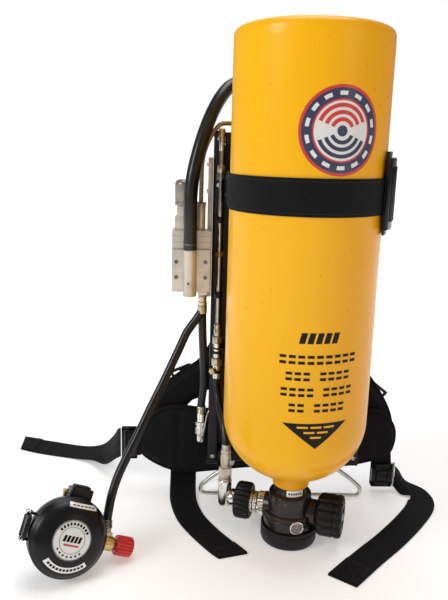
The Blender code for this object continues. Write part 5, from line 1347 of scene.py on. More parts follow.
# ---------------------------------------------------------------- back frame
@dataclass
class BackFrame:
    """The rails, bars, cradles, back plate and foot wire."""

    rail: float = 0.10085
    rail_middle_y: float = 0.1035
    plate_back: float = 0.1153
    wire: float = 0.003

    def build(self) -> None:
        """Dresses the frame and adds its fastenings, ribs and feet."""
        dress(COATED_BLACK, "frame_rail_left", "frame_rail_right", "frame_bar_top", "frame_bar_bottom",
            "back_plate")
        dress(PLASTIC_BLACK, "cradle_upper", "cradle_lower")
        screws = Shape()
        for side in (-1, 1):
            for height in (0.066, 0.215, 0.448, 0.507):
                screws.screw(lay((0, -1, 0), (side * self.rail, 0.0950, height)), 0.0030, 0.0016)
            for height in (0.100, 0.200, 0.300, 0.400):
                screws.screw(lay((0, 1, 0), (side * 0.088, self.plate_back, height)), 0.0032, 0.0014)
        finish("frame_screws", screws, STEEL)
        pads = Shape()
        for level in (0.448, 0.215):
            for i in (-1, 0, 1):
                curve = arc(0.0893, 90 + i * 27 - 8, 90 + i * 27 + 8, 9)
                pads.bent(8, 1, lambda u, v: (*curve[round(u * 8)], level + (v - 0.5) * 0.020),
                    thickness=0.0004)
        finish("cradle_pads", pads, RUBBER_BLACK)
        ribs = Shape()
        upright = Matrix.Translation((0, self.plate_back + 0.0009, 0)) @ Matrix.Rotation(math.pi / 2, 4, "X")
        for x, low, high in ((-0.012, 0.150, 0.440), (0.012, 0.150, 0.440), (-0.055, 0.150, 0.230),
            (0.055, 0.150, 0.230)):
            outline = [(x + dx, z) for dx, z in arc(0.0022, 0, 180, 9, (0.0, high)) + arc(0.0022, 180, 360, 9,
                (0.0, low))]
            ribs.plate(outline, 0, 0.0009, upright)
        finish("back_plate_ribs", ribs, COATED_BLACK)
        grip = Shape()
        half, tall, level = 0.045, 0.013, 0.474
        ring = arc(tall, -90, 90, 17, (half - tall, level)) + arc(tall, 90, 270, 17, (tall - half, level))
        ring = [Vector((x, 0.1138, z)) for x, z in ring]
        grip.tube([*ring, ring[0]], 0.0018, 12)
        finish("hand_hold_edging", grip, RUBBER_BLACK)
        caps = Shape()
        for side in (-1, 1):
            caps.block((side * self.rail - 0.0078, 0.0943, 0.0540), (side * self.rail + 0.0078, 0.1127, 0.0610),
                0.0015)
            caps.block((side * self.rail - 0.0078, 0.0943, 0.5090), (side * self.rail + 0.0078, 0.1127, 0.5168),
                0.0015)
        finish("rail_end_caps", caps, PLASTIC_BLACK)
        floor, toe = self.wire + 0.0003, 0.116
        half_route = [
            (-0.070, 0.0566), (-0.0705, 0.0520), (-0.100, 0.0300), (-toe + 0.001, 0.0160),
            (-toe - 0.0015, 0.0090), (-toe + 0.003, floor + 0.0007), (-toe + 0.012, floor), (-0.060, floor),
        ]
        route = [(x, self.rail_middle_y, z) for x, z in half_route]
        route += [(0, self.rail_middle_y, floor)] + [(-x, y, z) for x, y, z in route[::-1]]
        finish("foot_wire_bent", Shape().tube(even_points(even_points(route, 0.011), 0.003), self.wire, 16),
            STEEL, replaces=["foot_wire"])
        clips = Shape()
        for height in (0.300, 0.400):
            clips.ring(0.0028, 0.0048, height, height + 0.008, Matrix.Translation((-0.09805, 0.0864, 0)))
            clips.block((-0.1005, 0.0900, height), (-0.0956, 0.0952, height + 0.008), 0.0006)
        finish("supply_tube_clips", clips, PLASTIC_BLACK)


# ---------------------------------------------------------------- pressure reducer
@dataclass
class Reducer:
    """The stepped pressure reducer on the wearer's left rail."""

    left: float = -0.159
    right: float = -0.109
    front: float = 0.061
    back: float = 0.090
    bottom: float = 0.3135
    shoulder: float = 0.3920
    top: float = 0.4225
    cover_front: float = 0.0551
    cover_top: float = 0.3685
    boss: tuple[float, float] = (-0.1355, 0.0560)
    bonnet: tuple[float, float] = (-0.1445, 0.0780)
    column: tuple[float, float] = (-0.1230, 0.0745)
    fitting: float = -0.1190

    def build(self) -> None:
        """Builds the body, cover, bonnet, mounting strip and fittings."""
        step, shoulder = self.left + 0.0030, self.shoulder
        body = Shape().block((self.left, self.front, self.bottom), (self.right, self.back, shoulder), 0.0011)
        cut = 0.0658
        body.block((step, cut, shoulder - 0.002), (self.boss[0] + 0.0075, self.back, shoulder + 0.0170), 0.0009)
        body.block((step + 0.0025, cut + 0.001, shoulder + 0.015),
            (self.boss[0] + 0.006, self.back - 0.001, self.top), 0.0009)
        body.rod(0.0060, shoulder - 0.002, self.top + 0.0015, Matrix.Translation((*self.column, 0)), 40, 0.0005)
        finish("reducer_block", body, ANODISED, replaces=["reducer_body"])
        cover = Shape().block(
            (self.left + 0.0002, self.cover_front, self.bottom),
            (self.right - 0.0002, self.front - 0.0003, self.cover_top), 0.0009)
        finish("reducer_front_cover", cover, ANODISED, replaces=["reducer_cover"])
        boss = Shape().turned([
            (0, self.cover_top), (0.0082, self.cover_top), (0.0090, self.cover_top - 0.0008), (0.0090, 0.3097),
            (0.0082, 0.3085), (0, 0.3085)], Matrix.Translation((*self.boss, 0)), 64)
        bmesh.ops.bisect_plane(
            boss.bm, geom=boss.bm.verts[:] + boss.bm.edges[:] + boss.bm.faces[:],
            plane_co=(0, self.front - 0.0006, 0),
            plane_no=(0, 1, 0), clear_outer=True)
        bmesh.ops.holes_fill(boss.bm, edges=[e for e in boss.bm.edges if e.is_boundary], sides=0)
        finish("reducer_cover_boss", boss, ANODISED)
        # A flat black disc where the vent hole is: painted shade of the hole's inside.
        holes = Shape().rod(0.0013, 0.0, 0.0004, lay((0, -1, 0), (self.boss[0] - 0.0016, 0.0470, 0.3262)), 24,
            0.0001)
        finish("reducer_vent_hole_shade", holes, INK_BLACK)
        screws = Shape()
        for x in (self.left + 0.0060, self.right - 0.0068):
            for height in (0.3330, 0.3530):
                screws.screw(lay((0, -1, 0), (x, self.cover_front, height)), 0.0026, 0.0008)
        finish("reducer_cover_screws", screws, DARK_STEEL)
        # Thin dark rings round the block, in the painted-shade copy of the beige anodising.
        seams = Shape()
        for height in (0.3775, 0.3850):
            seams.block((self.left - 0.0001, self.front - 0.0001, height),
                (self.right + 0.0001, self.back + 0.0001, height + 0.0005), 0.0)
        finish("reducer_tool_lines", seams, BEIGE_PAINTED_SHADE)
        low = self.top + 0.0003
        dome = [(x, z) for x, z in arc(0.0070, 78, 0, 8, (0.0050, low + 0.0255))]
        cap = Shape().turned(
            [(0, low + 0.0325), *dome, (0.0120, low + 0.0052), (0.0112, low + 0.0048), (0.0112, low + 0.0036),
            (0.0120, low + 0.0032),
             (0.0120, low), (0, low)], Matrix.Translation((*self.bonnet, 0)), 64, 0.0002)
        # The bonnet is beige anodised like the block; its darker copy is painted shade.
        finish("reducer_spring_bonnet", cap, BEIGE_PAINTED_SHADE, replaces=["reducer_bonnet"])
        collar = Shape().prism(6, 0.0064, self.top + 0.0008, self.top + 0.0050,
            Matrix.Translation((*self.column, 0)))
        finish("alarm_line_nut", collar, NICKEL)
        self._strip_and_fitting()
        dress(BRASS, "reducer_piston")
        dress(STEEL, "reducer_spring")

    def _strip_and_fitting(self) -> None:
        """Builds the mounting strip and the outlet fitting with its two stems."""
        strip = Shape().block((-0.1146, 0.0903, 0.300), (-0.1083, 0.1110, 0.483), 0.0010)
        finish("reducer_mounting_strip", strip, ANODISED, replaces=["reducer_plate"])
        bolts = Shape()
        for height in (0.306, 0.440, 0.474):
            bolts.screw(lay((-1, 0, 0), (-0.1146, 0.1010, height)), 0.0032, 0.0018)
        finish("mounting_strip_bolts", bolts, STEEL)
        fitting = Shape().block((self.fitting - 0.0062, 0.0620, 0.3082),
            (self.fitting + 0.0062, 0.0890, 0.3132), 0.0006)
        for y in (0.0685, 0.0825):
            place = Matrix.Translation((self.fitting, y, 0))
            fitting.turned([
                (0, 0.3090), (0.0052, 0.3090), (0.0052, 0.3062), (0.0057, 0.3058), (0.0057, 0.3020),
                (0.0053, 0.3016), (0.0053, 0.2990), (0.0057, 0.2986), (0.0057, 0.2940), (0.0052, 0.2935),
                (0, 0.2935)], place, 48, 0.0002)
        finish("reducer_outlet_fitting", fitting, NICKEL, replaces=["outlet_fitting"])


# ---------------------------------------------------------------- lines and hoses
@dataclass
class Lines:
    """The supply tube, the hoses with their ferrules, the alarm line and the whistle."""

    hose: float = 0.0056
    gauge_hose: float = 0.0088
    supply: tuple[float, float] = (-0.09805, 0.0864)

    def build(self) -> None:
        """Builds each line along its real route."""
        self._regulator_hose()
        self._gauge_hose()
        self._short_hoses()
        self._supply()
        self._alarm()

    def ferrule(self, name: str, points: Sequence[Vector], radius: float, long: float, look: Finish = NICKEL,
                inset: float = 0.0) -> bpy.types.Object:
        """Builds the crimped sleeve on a hose's first points.

        Args:
            name: The piece's name.
            points: The hose's centreline from that end.
            radius: The hose's radius.
            long: The sleeve's length.
            look: Its finish.
            inset: How far along the hose it starts.

        Returns:
            The piece.
        """
        ahead = (points[1] - points[0]).normalized()
        outer = radius + 0.0009
        profile = [(radius - 0.0006, inset + long), (outer - 0.0003, inset + long),
            (outer, inset + long - 0.0006)]
        for i in range(3):
            at = inset + long * (0.78 - 0.24 * i)
            profile += [(outer, at), (outer - 0.0005, at - 0.0006), (outer - 0.0005, at - 0.0016),
                (outer, at - 0.0022)]
        profile += [(outer, inset + 0.0005), (outer - 0.0003, inset), (radius - 0.0006, inset)]
        return finish(name, Shape().turned(profile, lay(ahead, points[0]), 40, 0.0001), look)

    def _regulator_hose(self) -> None:
        """Builds the free hose from the reducer's front outlet to the regulator's inlet."""
        middle = Regulator.place @ Vector((0.0535, 0.0, -0.0100))
        axis = Vector((-0.066, 0.515, 0.855)).normalized()
        keys = [
            (-0.1190, 0.0685, 0.2932), (-0.1190, 0.0685, 0.2870), (-0.1270, 0.0660, 0.2740),
            (-0.1382, 0.0620, 0.2585), (-0.1487, 0.0560, 0.2355), (-0.1673, 0.0410, 0.1962),
            (-0.1832, 0.0250, 0.1649), (-0.1996, 0.0060, 0.1313), (-0.2116, -0.0080, 0.1085),
            (-0.2202, -0.0200, 0.0901), (-0.2263, -0.0310, 0.0695),
            middle + axis * 0.0278, middle + axis * 0.0161,
        ]
        points = hose_points(keys, 0.012)
        hose = finish("regulator_hose_cover", Shape().tube(self._fine(points), self.hose, 24), HOSE_BLACK,
            replaces=["regulator_hose"])
        ends = [
            self.ferrule("regulator_hose_top_ferrule", points, self.hose, 0.0100),
            self.ferrule("regulator_hose_ferrule", points[::-1], self.hose, 0.0090, DARK_STEEL, 0.0010),
        ]
        length = sum((b - a).length for a, b in zip(points, points[1:]))

    @staticmethod
    def _fine(points: Sequence[Vector]) -> list[Vector]:
        """Returns the route again, smooth and at close points."""
        return even_points(points, 0.003)

    def _gauge_hose(self) -> None:
        """Builds the thick sleeved hose over the shoulder and its moulded cuffs."""
        keys = [
            (-0.1355, 0.0560, 0.3688), (-0.1355, 0.0560, 0.3950), (-0.1360, 0.0565, 0.4250),
            (-0.1340, 0.0590, 0.4560), (-0.1285, 0.0660, 0.4840), (-0.1210, 0.0745, 0.5110),
            (-0.1110, 0.0870, 0.5380), (-0.0970, 0.1030, 0.5630), (-0.0820, 0.1220, 0.5770),
            (-0.0680, 0.1430, 0.5765), (-0.0570, 0.1630, 0.5590), (-0.0510, 0.1770, 0.5310),
            (-0.0490, 0.1860, 0.5000), (-0.0490, 0.1885, 0.4760), (-0.0490, 0.1885, 0.4643),
        ]
        points = hose_points(keys, 0.022)
        finish("gauge_hose_cover", Shape().tube(self._fine(points), self.gauge_hose - 0.0003, 32), HOSE_BLACK,
            replaces=["gauge_hose"])
        self.ferrule("gauge_hose_cuff", points, self.gauge_hose - 0.0010, 0.0080, DARK_STEEL)
        self.ferrule("gauge_hose_end_cuff", points[::-1], self.gauge_hose - 0.0006, 0.0120, RUBBER_BLACK)

    def _short_hoses(self) -> None:
        """Builds the high pressure hose by the valve and the accessory hose with its connector."""
        x, y = self.supply
        keys = [(-0.08369, 0.02719, 0.1103), (-0.08369, 0.02719, 0.1170), (-0.0872, 0.0420, 0.1380),
            (-0.0935, 0.0659, 0.1550),
                (x, y, 0.1780), (x, y, 0.1867)]
        points = hose_points(keys, 0.012)
        finish("high_pressure_hose_cover", Shape().tube(self._fine(points), 0.0050, 24), HOSE_BLACK,
            replaces=["high_pressure_hose"])
        self.ferrule("high_pressure_hose_ferrule", points, 0.0050, 0.0065, STEEL)
        keys = [(-0.1190, 0.0825, 0.2932), (-0.1190, 0.0825, 0.2860), (-0.1180, 0.0850, 0.2500),
            (-0.1160, 0.0930, 0.2100),
                (-0.1155, 0.1010, 0.1700), (-0.1180, 0.1045, 0.1420), (-0.1180, 0.1045, 0.1283)]
        points = hose_points(keys, 0.024)
        finish("accessory_hose_cover", Shape().tube(self._fine(points), self.hose, 24), HOSE_BLACK,
            replaces=["accessory_hose"])
        self.ferrule("accessory_hose_top_ferrule", points, self.hose, 0.0100)
        self.ferrule("accessory_hose_ferrule", points[::-1], self.hose, 0.0100)
        place = Matrix.Translation((-0.1180, 0.1045, 0))
        socket = Shape().turned([
            (0, 0.1280), (0.0058, 0.1280), (0.0062, 0.1275), (0.0062, 0.1160), (0.0080, 0.1150),
            (0.0080, 0.1100), (0.0074, 0.1096), (0.0074, 0.1080), (0.0080, 0.1076), (0.0080, 0.0975),
            (0.0066, 0.0950), (0.0066, 0.0880), (0.0058, 0.0850), (0.0040, 0.0850), (0.0040, 0.0900),
            (0, 0.0900),
        ], place, 72, 0.0002, 24, 0.0004, 0.0076)
        finish("quick_connector", socket, CHROME, replaces=["accessory_connector"])
        clip = [(-0.0960, 0.1000, 0.1570), (-0.0975, 0.1010, 0.1500), (-0.1030, 0.1000, 0.1400),
            (-0.1090, 0.0960, 0.1300), (-0.1120, 0.0945, 0.1150),
                (-0.1145, 0.0945, 0.1020)]
        finish("hose_clip_wire", Shape().tube(even_points(clip, 0.003), 0.0009, 10), STEEL)

    def _supply(self) -> None:
        """Builds the supply tube, its nuts and the relief valve at its foot."""
        place = Matrix.Translation((*self.supply, 0))
        tube = Shape().rod(0.0026, 0.2563, 0.5190, place, 24)
        tube.turned([(0, 0.5190), (0.0036, 0.5190), (0.0040, 0.5180), (0.0032, 0.4920), (0.0026, 0.4910),
            (0, 0.4910)], place, 32, 0.0002)
        finish("supply_tube_bright", tube, STEEL, replaces=["supply_tube"])
        nuts = Shape().prism(6, 0.0056, 0.4550, 0.4640, place, 0.0004).ring(0.0026, 0.0052, 0.4640, 0.4740,
            place, 32, 0.0004)
        nuts.ring(0.0026, 0.0044, 0.2563, 0.2640, place).prism(6, 0.0050, 0.3560, 0.3620, place, 0.0004)
        finish("supply_tube_nuts", nuts, NICKEL)
        tip = Shape().turned([(0, 0.5192), (0.0037, 0.5192), (0.0041, 0.5180), (0.0038, 0.5090),
            (0.0032, 0.5085), (0, 0.5085)], place, 32, 0.0001)
        finish("supply_tube_tip", tip, BRASS)
        relief = Shape().turned([
            (0, 0.2560), (0.0045, 0.2560), (0.0045, 0.2480), (0.0052, 0.2472), (0.0052, 0.2362),
            (0.0052, 0.2170), (0.0046, 0.2165), (0.0046, 0.2150), (0.0055, 0.2055), (0.0055, 0.1872),
            (0, 0.1872)], place, 40, 0.0003)
        finish("relief_valve_body", relief, CHROME, replaces=["supply_relief_valve"])
        nuts = Shape().prism(6, 0.0066, 0.2370, 0.2470, place, 0.0004).prism(6, 0.0068, 0.2060, 0.2160, place,
            0.0004)
        finish("relief_valve_nuts", nuts, NICKEL)
        rings = Shape().ring(0.0040, 0.0060, 0.2225, 0.2260, place).ring(0.0040, 0.0060, 0.2290, 0.2310,
            place).ring(0.0040, 0.0061, 0.1945, 0.1985, place)
        finish("relief_valve_seals", rings, RUBBER_BLACK)
        side = lay((-0.55, -0.835, 0), (*self.supply, 0.1995))
        branch = Shape().rod(0.0036, 0.0, 0.0105, side, 24).prism(6, 0.0040, 0.0085, 0.0125, side)
        finish("relief_valve_plug", branch, BRASS)

    def _alarm(self) -> None:
        """Builds the braided line and the low air whistle."""
        keys = [
            (-0.1230, 0.0745, 0.4243), (-0.1230, 0.0745, 0.4340), (-0.1228, 0.0765, 0.4550),
            (-0.1222, 0.0800, 0.4780), (-0.1180, 0.0850, 0.4960), (-0.10985, 0.0880, 0.5130),
            (-0.10005, 0.0894, 0.5243), (-0.08705, 0.0960, 0.5258), (-0.0735, 0.1035, 0.5243),
            (-0.0658, 0.1035, 0.5243),
        ]
        points = hose_points(keys, 0.010)
        finish("alarm_line_braid", Shape().tube(even_points(points, 0.002), 0.0028, 20), COPPER,
            replaces=["alarm_line"])
        place = lay((1, 0, 0), (-0.0655, 0.1035, 0.5243))
        whistle = Shape().turned([
            (0, 0.040), (0.0060, 0.040), (0.0070, 0.0392), (0.0090, 0.037), (0.0090, 0.030), (0.0080, 0.0295),
            (0.0080, 0.0270), (0.0090, 0.0265), (0.0090, 0.010), (0.0055, 0.009), (0.0055, 0), (0, 0)], place,
            64, 0.0003)
        finish("low_air_alarm", whistle, BRASS, replaces=["low_air_whistle"])
        finish("low_air_alarm_nut", Shape().prism(6, 0.0062, 0.0015, 0.0080, place), NICKEL)
        # Thin black strips where the whistle's slots are: painted shade of the slots' insides.
        slots = Shape()
        for i in range(6):
            turn = place @ Matrix.Rotation(TAU * i / 6, 4, "Z")
            slots.block((0.0086, -0.0008, 0.0130), (0.0092, 0.0008, 0.0220), 0.0002, turn)
        finish("low_air_alarm_slot_shade", slots, INK_BLACK)


# ---------------------------------------------------------------- mask regulator
@dataclass
class Regulator:
    """The mask regulator, in its own frame: X to its inlet, Y up its face, Z out of its cover."""

    outer: float = 0.0445
    inner: float = 0.0420
    back: float = -0.0220
    rim: float = 0.0023
    rise: float = 0.0180
    cover: float = 0.0455
    inlet_level: float = -0.0100
    spigot: float = 0.0165
    pin: float = -0.0495
    place = (
        Matrix.Translation((-0.2694, -0.0835, 0.0483)) @ Matrix.Rotation(math.radians(28), 4, "Z")
        @ Matrix.Rotation(math.radians(71.7), 4, "X") @ Matrix.Rotation(math.radians(-24), 4, "Z")
    )

    def build(self) -> None:
        """Builds the whole regulator."""
        self._housing()
        self._cover()
        self._labels()
        self._controls()
        self._mask_side()
        self._inlet()
        dress(DIAPHRAGM_GREY, "diaphragm")
        dress(STEEL, "demand_lever")

    def _housing(self) -> None:
        """Builds the housing and the walls round the switch button."""
        back, outer, throat = self.back, self.outer, self.spigot - 0.0025
        housing = Shape().turned([
            (outer, 0.0020), (outer, -0.0030), (outer - 0.0010, -0.0036), (outer - 0.0010, -0.0052),
            (outer, -0.0058), (outer, back + 0.006), (outer - 0.0012, back + 0.0025), (outer - 0.005, back),
            (throat, back), (throat, back + 0.0025), (self.inner - 0.003, back + 0.0025),
            (self.inner, back + 0.006), (self.inner, 0.0020)], self.place, 128, 0.0004)
        low, high, floor = (-0.0100, self.inner - 0.002, -0.0200), (0.0160, 0.0560, 0.0), 0.0488
        for a, b in (
            (low, (high[0], floor, high[2])), (low, (-0.0077, high[1], high[2])),
            ((0.0137, low[1], low[2]), high), (low, (high[0], high[1], -0.0177)),
            ((low[0], low[1], -0.0023), high),
        ):
            housing.block(a, b, 0.0005, self.place)
        for i in range(5):
            housing.block((0.0158, 0.0445 + 0.0022 * i, -0.0180), (0.0166, 0.0456 + 0.0022 * i, -0.0020),
                0.0003, self.place)
        for side in (-1, 1):
            middle = 0.0030 + side * 0.0145
            housing.block((self.pin - 0.0030, middle - 0.0015, -0.0140),
                (self.pin + 0.0085, middle + 0.0015, -0.0060), 0.0008, self.place)
        finish("regulator_body", housing, PLASTIC_BLACK, replaces=["regulator_housing"])
        stud = Shape().turned([
            (0, 0.0520), (0.0026, 0.0520), (0.0032, 0.0512), (0.0032, 0.0480), (0.0024, 0.0474),
            (0.0024, 0.0430), (0, 0.0430)],
            self.place @ lay((0, 1, 0), (-0.0150, 0, -0.0100)), 32, 0.0002)
        finish("regulator_stud", stud, BRASS)

    def height(self, radius: float) -> float:
        """Returns the height of the cover's face at a radius."""
        top = self.rim + self.rise
        keys = [(0.0, top), (0.0200, top - 0.0008), (0.0320, top - 0.0040), (0.0400, top - 0.0085),
            (0.0440, top - 0.0130),
                (self.cover, self.rim + 0.0030)]
        for (r0, z0), (r1, z1) in zip(keys, keys[1:]):
            if radius <= r1:
                share = (radius - r0) / (r1 - r0)
                return z0 + (z1 - z0) * share
        return self.rim

    def _cover(self) -> None:
        """Builds the domed front cover with its edge bead."""
        keys = [(-0.0200, self.height(0.02)), (0.0, self.height(0)), (0.0200, self.height(0.02)),
            (0.0320, self.height(0.032)),
                (0.0400, self.height(0.04)), (0.0440, self.height(0.044)), (self.cover, self.rim + 0.0036)]
        outside = [tuple(curve_point(keys, 1 + 5 * i / 24)) for i in range(25)]
        outside[0] = (0.0, outside[0][1])
        outside += [(self.cover + 0.0006, self.rim + 0.0030), (self.cover + 0.0006, self.rim + 0.0006),
            (self.cover, self.rim)]
        top = self.rim + self.rise
        inside = [(self.inner, self.rim), (self.inner - 0.0005, self.rim + 0.004), (0.0385, top - 0.0105),
            (0.0310, top - 0.0060),
                  (0.0195, top - 0.0028), (0, top - 0.002)]
        finish("regulator_front_cover", Shape().turned(outside + inside, self.place, 128), PLASTIC_BLACK,
            replaces=["regulator_cover"], smooth=50)

    def face(self, radius: float, degrees: float, lift: float) -> Vector:
        """Returns a point on the cover's face, a little off it."""
        angle = math.radians(degrees)
        return self.place @ Vector((radius * math.cos(angle), radius * math.sin(angle),
            self.height(radius) + lift))

    def patch(self, shape: Shape, inner: float, outer: float, start: float, end: float, lift: float,
        steps: int = 24) -> Shape:
        """Adds a thin curved label to a shape, between two radii and two angles on the cover."""
        return shape.bent(
            steps, 3, lambda u, v: self.face(inner + (outer - inner) * v, start + (end - start) * u, lift),
            thickness=0.00018)

    def bar(self, shape: Shape, x: float, y: float, width: float, tall: float, lift: float,
        slant: float = 0.0) -> Shape:
        """Adds a thin straight label to a shape, centred at a place on the cover."""
        def place(u: float, v: float) -> Vector:
            """Gives the point for a share across and up."""
            across, up = x + (u - 0.5) * width + (v - 0.5) * slant, y + (v - 0.5) * tall
            return self.face(math.hypot(across, up), math.degrees(math.atan2(up, across)), lift)
        return shape.bent(10, 3, place, thickness=0.00018)

    def _labels(self) -> None:
        """Builds the round plate, the curved plate and the bar plate, with plain marks on them."""
        finish("regulator_round_plate", self.patch(Shape(), 0.0, 0.0225, 0, 360, 0.0004, 72), FOIL)
        lines = self.patch(Shape(), 0.0216, 0.0222, 0, 360, 0.0006, 72)
        self.patch(lines, 0.0146, 0.0150, 0, 360, 0.0006, 72)
        for i in range(10):
            self.patch(lines, 0.0168, 0.0200, 150 - i * 12.4, 143 - i * 12.4, 0.0006, 3)
        for i in range(7):
            self.patch(lines, 0.0172, 0.0192, 215 + i * 16, 222 + i * 16, 0.0006, 3)
        for i in range(5):
            self.bar(lines, -0.0088 + i * 0.0044, 0.0014, 0.0031, 0.0072, 0.0006, 0.0016)
        finish("regulator_plate_marks", lines, INK_BLACK)
        finish("regulator_plate_stripe", self.bar(Shape(), 0.0, -0.0056, 0.0180, 0.0021, 0.0006), INK_RED)
        finish("regulator_arc_plate", self.patch(Shape(), 0.0305, 0.0372, -132, -43.5, 0.0004, 40), FOIL)
        dashes = Shape()
        for i in range(11):
            self.patch(dashes, 0.0325, 0.0352, -126 + i * 7.2, -121 + i * 7.2, 0.0006, 3)
        for i in range(6):
            self.bar(dashes, -0.0068 + i * 0.0048, 0.0380, 0.0034, 0.0011, 0.0006)
        finish("regulator_arc_marks", dashes, INK_BLACK)
        finish("regulator_bar_plate", self.bar(Shape(), 0.0050, 0.0380, 0.0340, 0.0052, 0.0004), FOIL)

    def _controls(self) -> None:
        """Builds the switch button and the ribbed red knob."""
        button = Shape().block((-0.0070, 0.0525, -0.0170), (0.0130, 0.0588, -0.0030), 0.0012, self.place)
        for i in range(5):
            button.block((-0.0052 + i * 0.0036, 0.0583, -0.0155), (-0.0036 + i * 0.0036, 0.0595, -0.0045),
                0.0004, self.place)
        finish("air_saver_switch_cap", button, RUBBER_BLACK, "air_saver_switch", ["air_saver_button"])
        place = self.place @ lay((1, 0, 0), (self.cover + 0.0177, 0, self.inlet_level))
        knob = Shape().turned([
            (0, 0.0210), (0.0062, 0.0210), (0.0068, 0.0220), (0.0100, 0.0220), (0.0114, 0.0212),
            (0.0120, 0.0196), (0.0120, 0.0030), (0.0112, 0.0008), (0.0098, 0), (0, 0)], place, 144, 0.0003, 18,
            0.0011, 0.0098, 1.4)
        finish("purge_knob_ribbed", knob, RED, "purge_control", ["purge_knob"])
        finish("purge_knob_mark", Shape().block((0.0020, -0.0005, 0.0209), (0.0058, 0.0005, 0.0213), 0.0002,
            place), INK_WHITE, "purge_control")

    def _mask_side(self) -> None:
        """Builds the mask spigot, its seal and lugs, and the mask release."""
        back, throat = self.back - 0.0003, self.spigot - 0.0025
        low = back - 0.026
        spigot = Shape().turned([
            (throat, back), (0.0225, back), (0.0225, self.back - 0.004), (self.spigot, self.back - 0.004),
            (self.spigot, low + 0.0110), (self.spigot - 0.0012, low + 0.0106),
            (self.spigot - 0.0012, low + 0.0074), (self.spigot, low + 0.0070), (self.spigot, low + 0.0010),
            (self.spigot - 0.001, low), (throat, low)], self.place, 96, 0.0004)
        for i in range(3):
            turn = self.place @ Matrix.Rotation(TAU * i / 3, 4, "Z")
            spigot.block((0.0155, -0.0030, low + 0.0125), (0.0188, 0.0030, low + 0.0155), 0.0006, turn)
        finish("mask_spigot_moulded", spigot, PLASTIC_BLACK, replaces=["mask_spigot"])
        seal = Shape().turned([(self.spigot + 0.0006 * math.cos(a) - 0.0002, low + 0.009 + 0.0014 * math.sin(a))
                               for a in (TAU * i / 12 for i in range(12))], self.place, 64)
        finish("mask_spigot_seal", seal, DIAPHRAGM_GREY)
        upright = self.place @ lay((0, 1, 0), (self.pin, 0.0030, self.inlet_level))
        pin = Shape().turned([
            (0, 0.0186), (0.0022, 0.0182), (0.0040, 0.0168), (0.0043, 0.0154), (0.0040, 0.0134),
            (0.0030, 0.0126), (0.0030, -0.0126), (0.0040, -0.0134), (0.0043, -0.0154), (0.0040, -0.0168),
            (0.0022, -0.0182), (0, -0.0186)], upright, 40, 0.0003)
        finish("release_pin_plated", pin, CHROME, replaces=["release_pin"])
        lever = Shape().ring(0.0033, 0.0045, -0.0120, 0.0120, upright, 40, 0.0003)
        lever.block((self.pin - 0.0030, -0.0090, -0.0064), (self.pin + 0.0018, 0.0150, 0.0040), 0.0010,
            self.place)
        for i in range(4):
            lever.block((self.pin - 0.0035, -0.0060 + i * 0.0050, -0.0040),
                (self.pin - 0.0026, -0.0036 + i * 0.0050, 0.0030), 0.0003, self.place)
        finish("mask_release_lever", lever, PLASTIC_BLACK, "mask_release", ["release_lever"])

    def _inlet(self) -> None:
        """Builds the inlet fitting between the housing, the hose and the knob."""
        across = self.place @ lay((1, 0, 0), (0, 0, self.inlet_level))
        inlet = Shape().turned([
            (0, 0.0627), (0.0065, 0.0627), (0.0065, 0.0602), (0.0080, 0.0598), (0.0088, 0.0588),
            (0.0088, 0.0478), (0.0060, 0.0462), (0.0060, 0.0362), (0, 0.0362),
        ], across, 64, 0.0003)
        axis = Vector((-0.066, 0.515, 0.855)).normalized()
        middle = self.place @ Vector((0.0535, 0, self.inlet_level))
        nipple = lay(axis, middle)
        inlet.turned([
            (0, 0.0158), (0.0046, 0.0158), (0.0050, 0.0152), (0.0050, 0.0135), (0.0044, 0.0131),
            (0.0044, 0.0121), (0.0050, 0.0117), (0.0050, 0.0020), (0, 0.0020)],
            nipple, 40, 0.0002)
        finish("regulator_inlet", inlet, BRASS, replaces=["inlet_fitting"])
        finish("regulator_inlet_nut", Shape().prism(6, 0.0064, 0.0082, 0.0122, nipple, 0.0004), NICKEL)
        finish("regulator_inlet_washer", Shape().ring(0.0060, 0.0094, 0.0462, 0.0478, across), CHROME)


# ---------------------------------------------------------------- shoulder gauge
@dataclass
class ShoulderGauge:
    """The wearer's round pressure gauge at the end of the big hose."""

    centre: Colour = (-0.0490, 0.1885, 0.4360)
    radius: float = 0.0240
    half: float = 0.0110

    def build(self) -> None:
        """Builds the rubber boot, bezel, dial and lens."""
        place, half, radius = lay((0, 1, 0), self.centre), self.half, self.radius
        boot = Shape().turned([
            (0, half - 0.0042), (radius - 0.0022, half - 0.0042), (radius - 0.0022, half - 0.0008),
            (radius - 0.0012, half), (radius - 0.0004, half - 0.0004), (radius, half - 0.0016),
            (radius, 0.0050), (radius - 0.0010, 0.0044), (radius - 0.0010, 0.0024), (radius, 0.0018),
            (radius, -0.0040), (radius - 0.0010, -0.0046), (radius - 0.0010, -0.0062), (radius, -0.0068),
            (radius, 0.0025 - half), (radius - 0.0030, -half), (0, -half)], place, 96, 0.0004)
        boot.turned([(0, 0.0280), (0.0070, 0.0280), (0.0076, 0.0270), (0.0076, 0.0255), (0.0070, 0.0248),
            (0.0078, 0.0200), (0, 0.0200)],
                    Matrix.Translation(self.centre), 40, 0.0004)
        finish("shoulder_gauge_boot", boot, RUBBER_BLACK, replaces=["shoulder_gauge_case"])
        bezel = Shape().ring(radius - 0.0034, radius - 0.0018, half - 0.0042, half - 0.0012, place, 96, 0.0003)
        finish("shoulder_gauge_bezel", bezel, CHROME)
        Dial(place, half - 0.0038, radius - 0.0026, 21, "shoulder_gauge", (0, 1, 2, 3, 4, 5)).build()
        lens = Shape().turned([(0, half - 0.0014), (radius - 0.0040, half - 0.0019),
            (radius - 0.0040, half - 0.0022), (0, half - 0.0017)], place, 64)
        finish("shoulder_gauge_lens", lens, LENS)
        dress(RED, "shoulder_gauge_pointer")


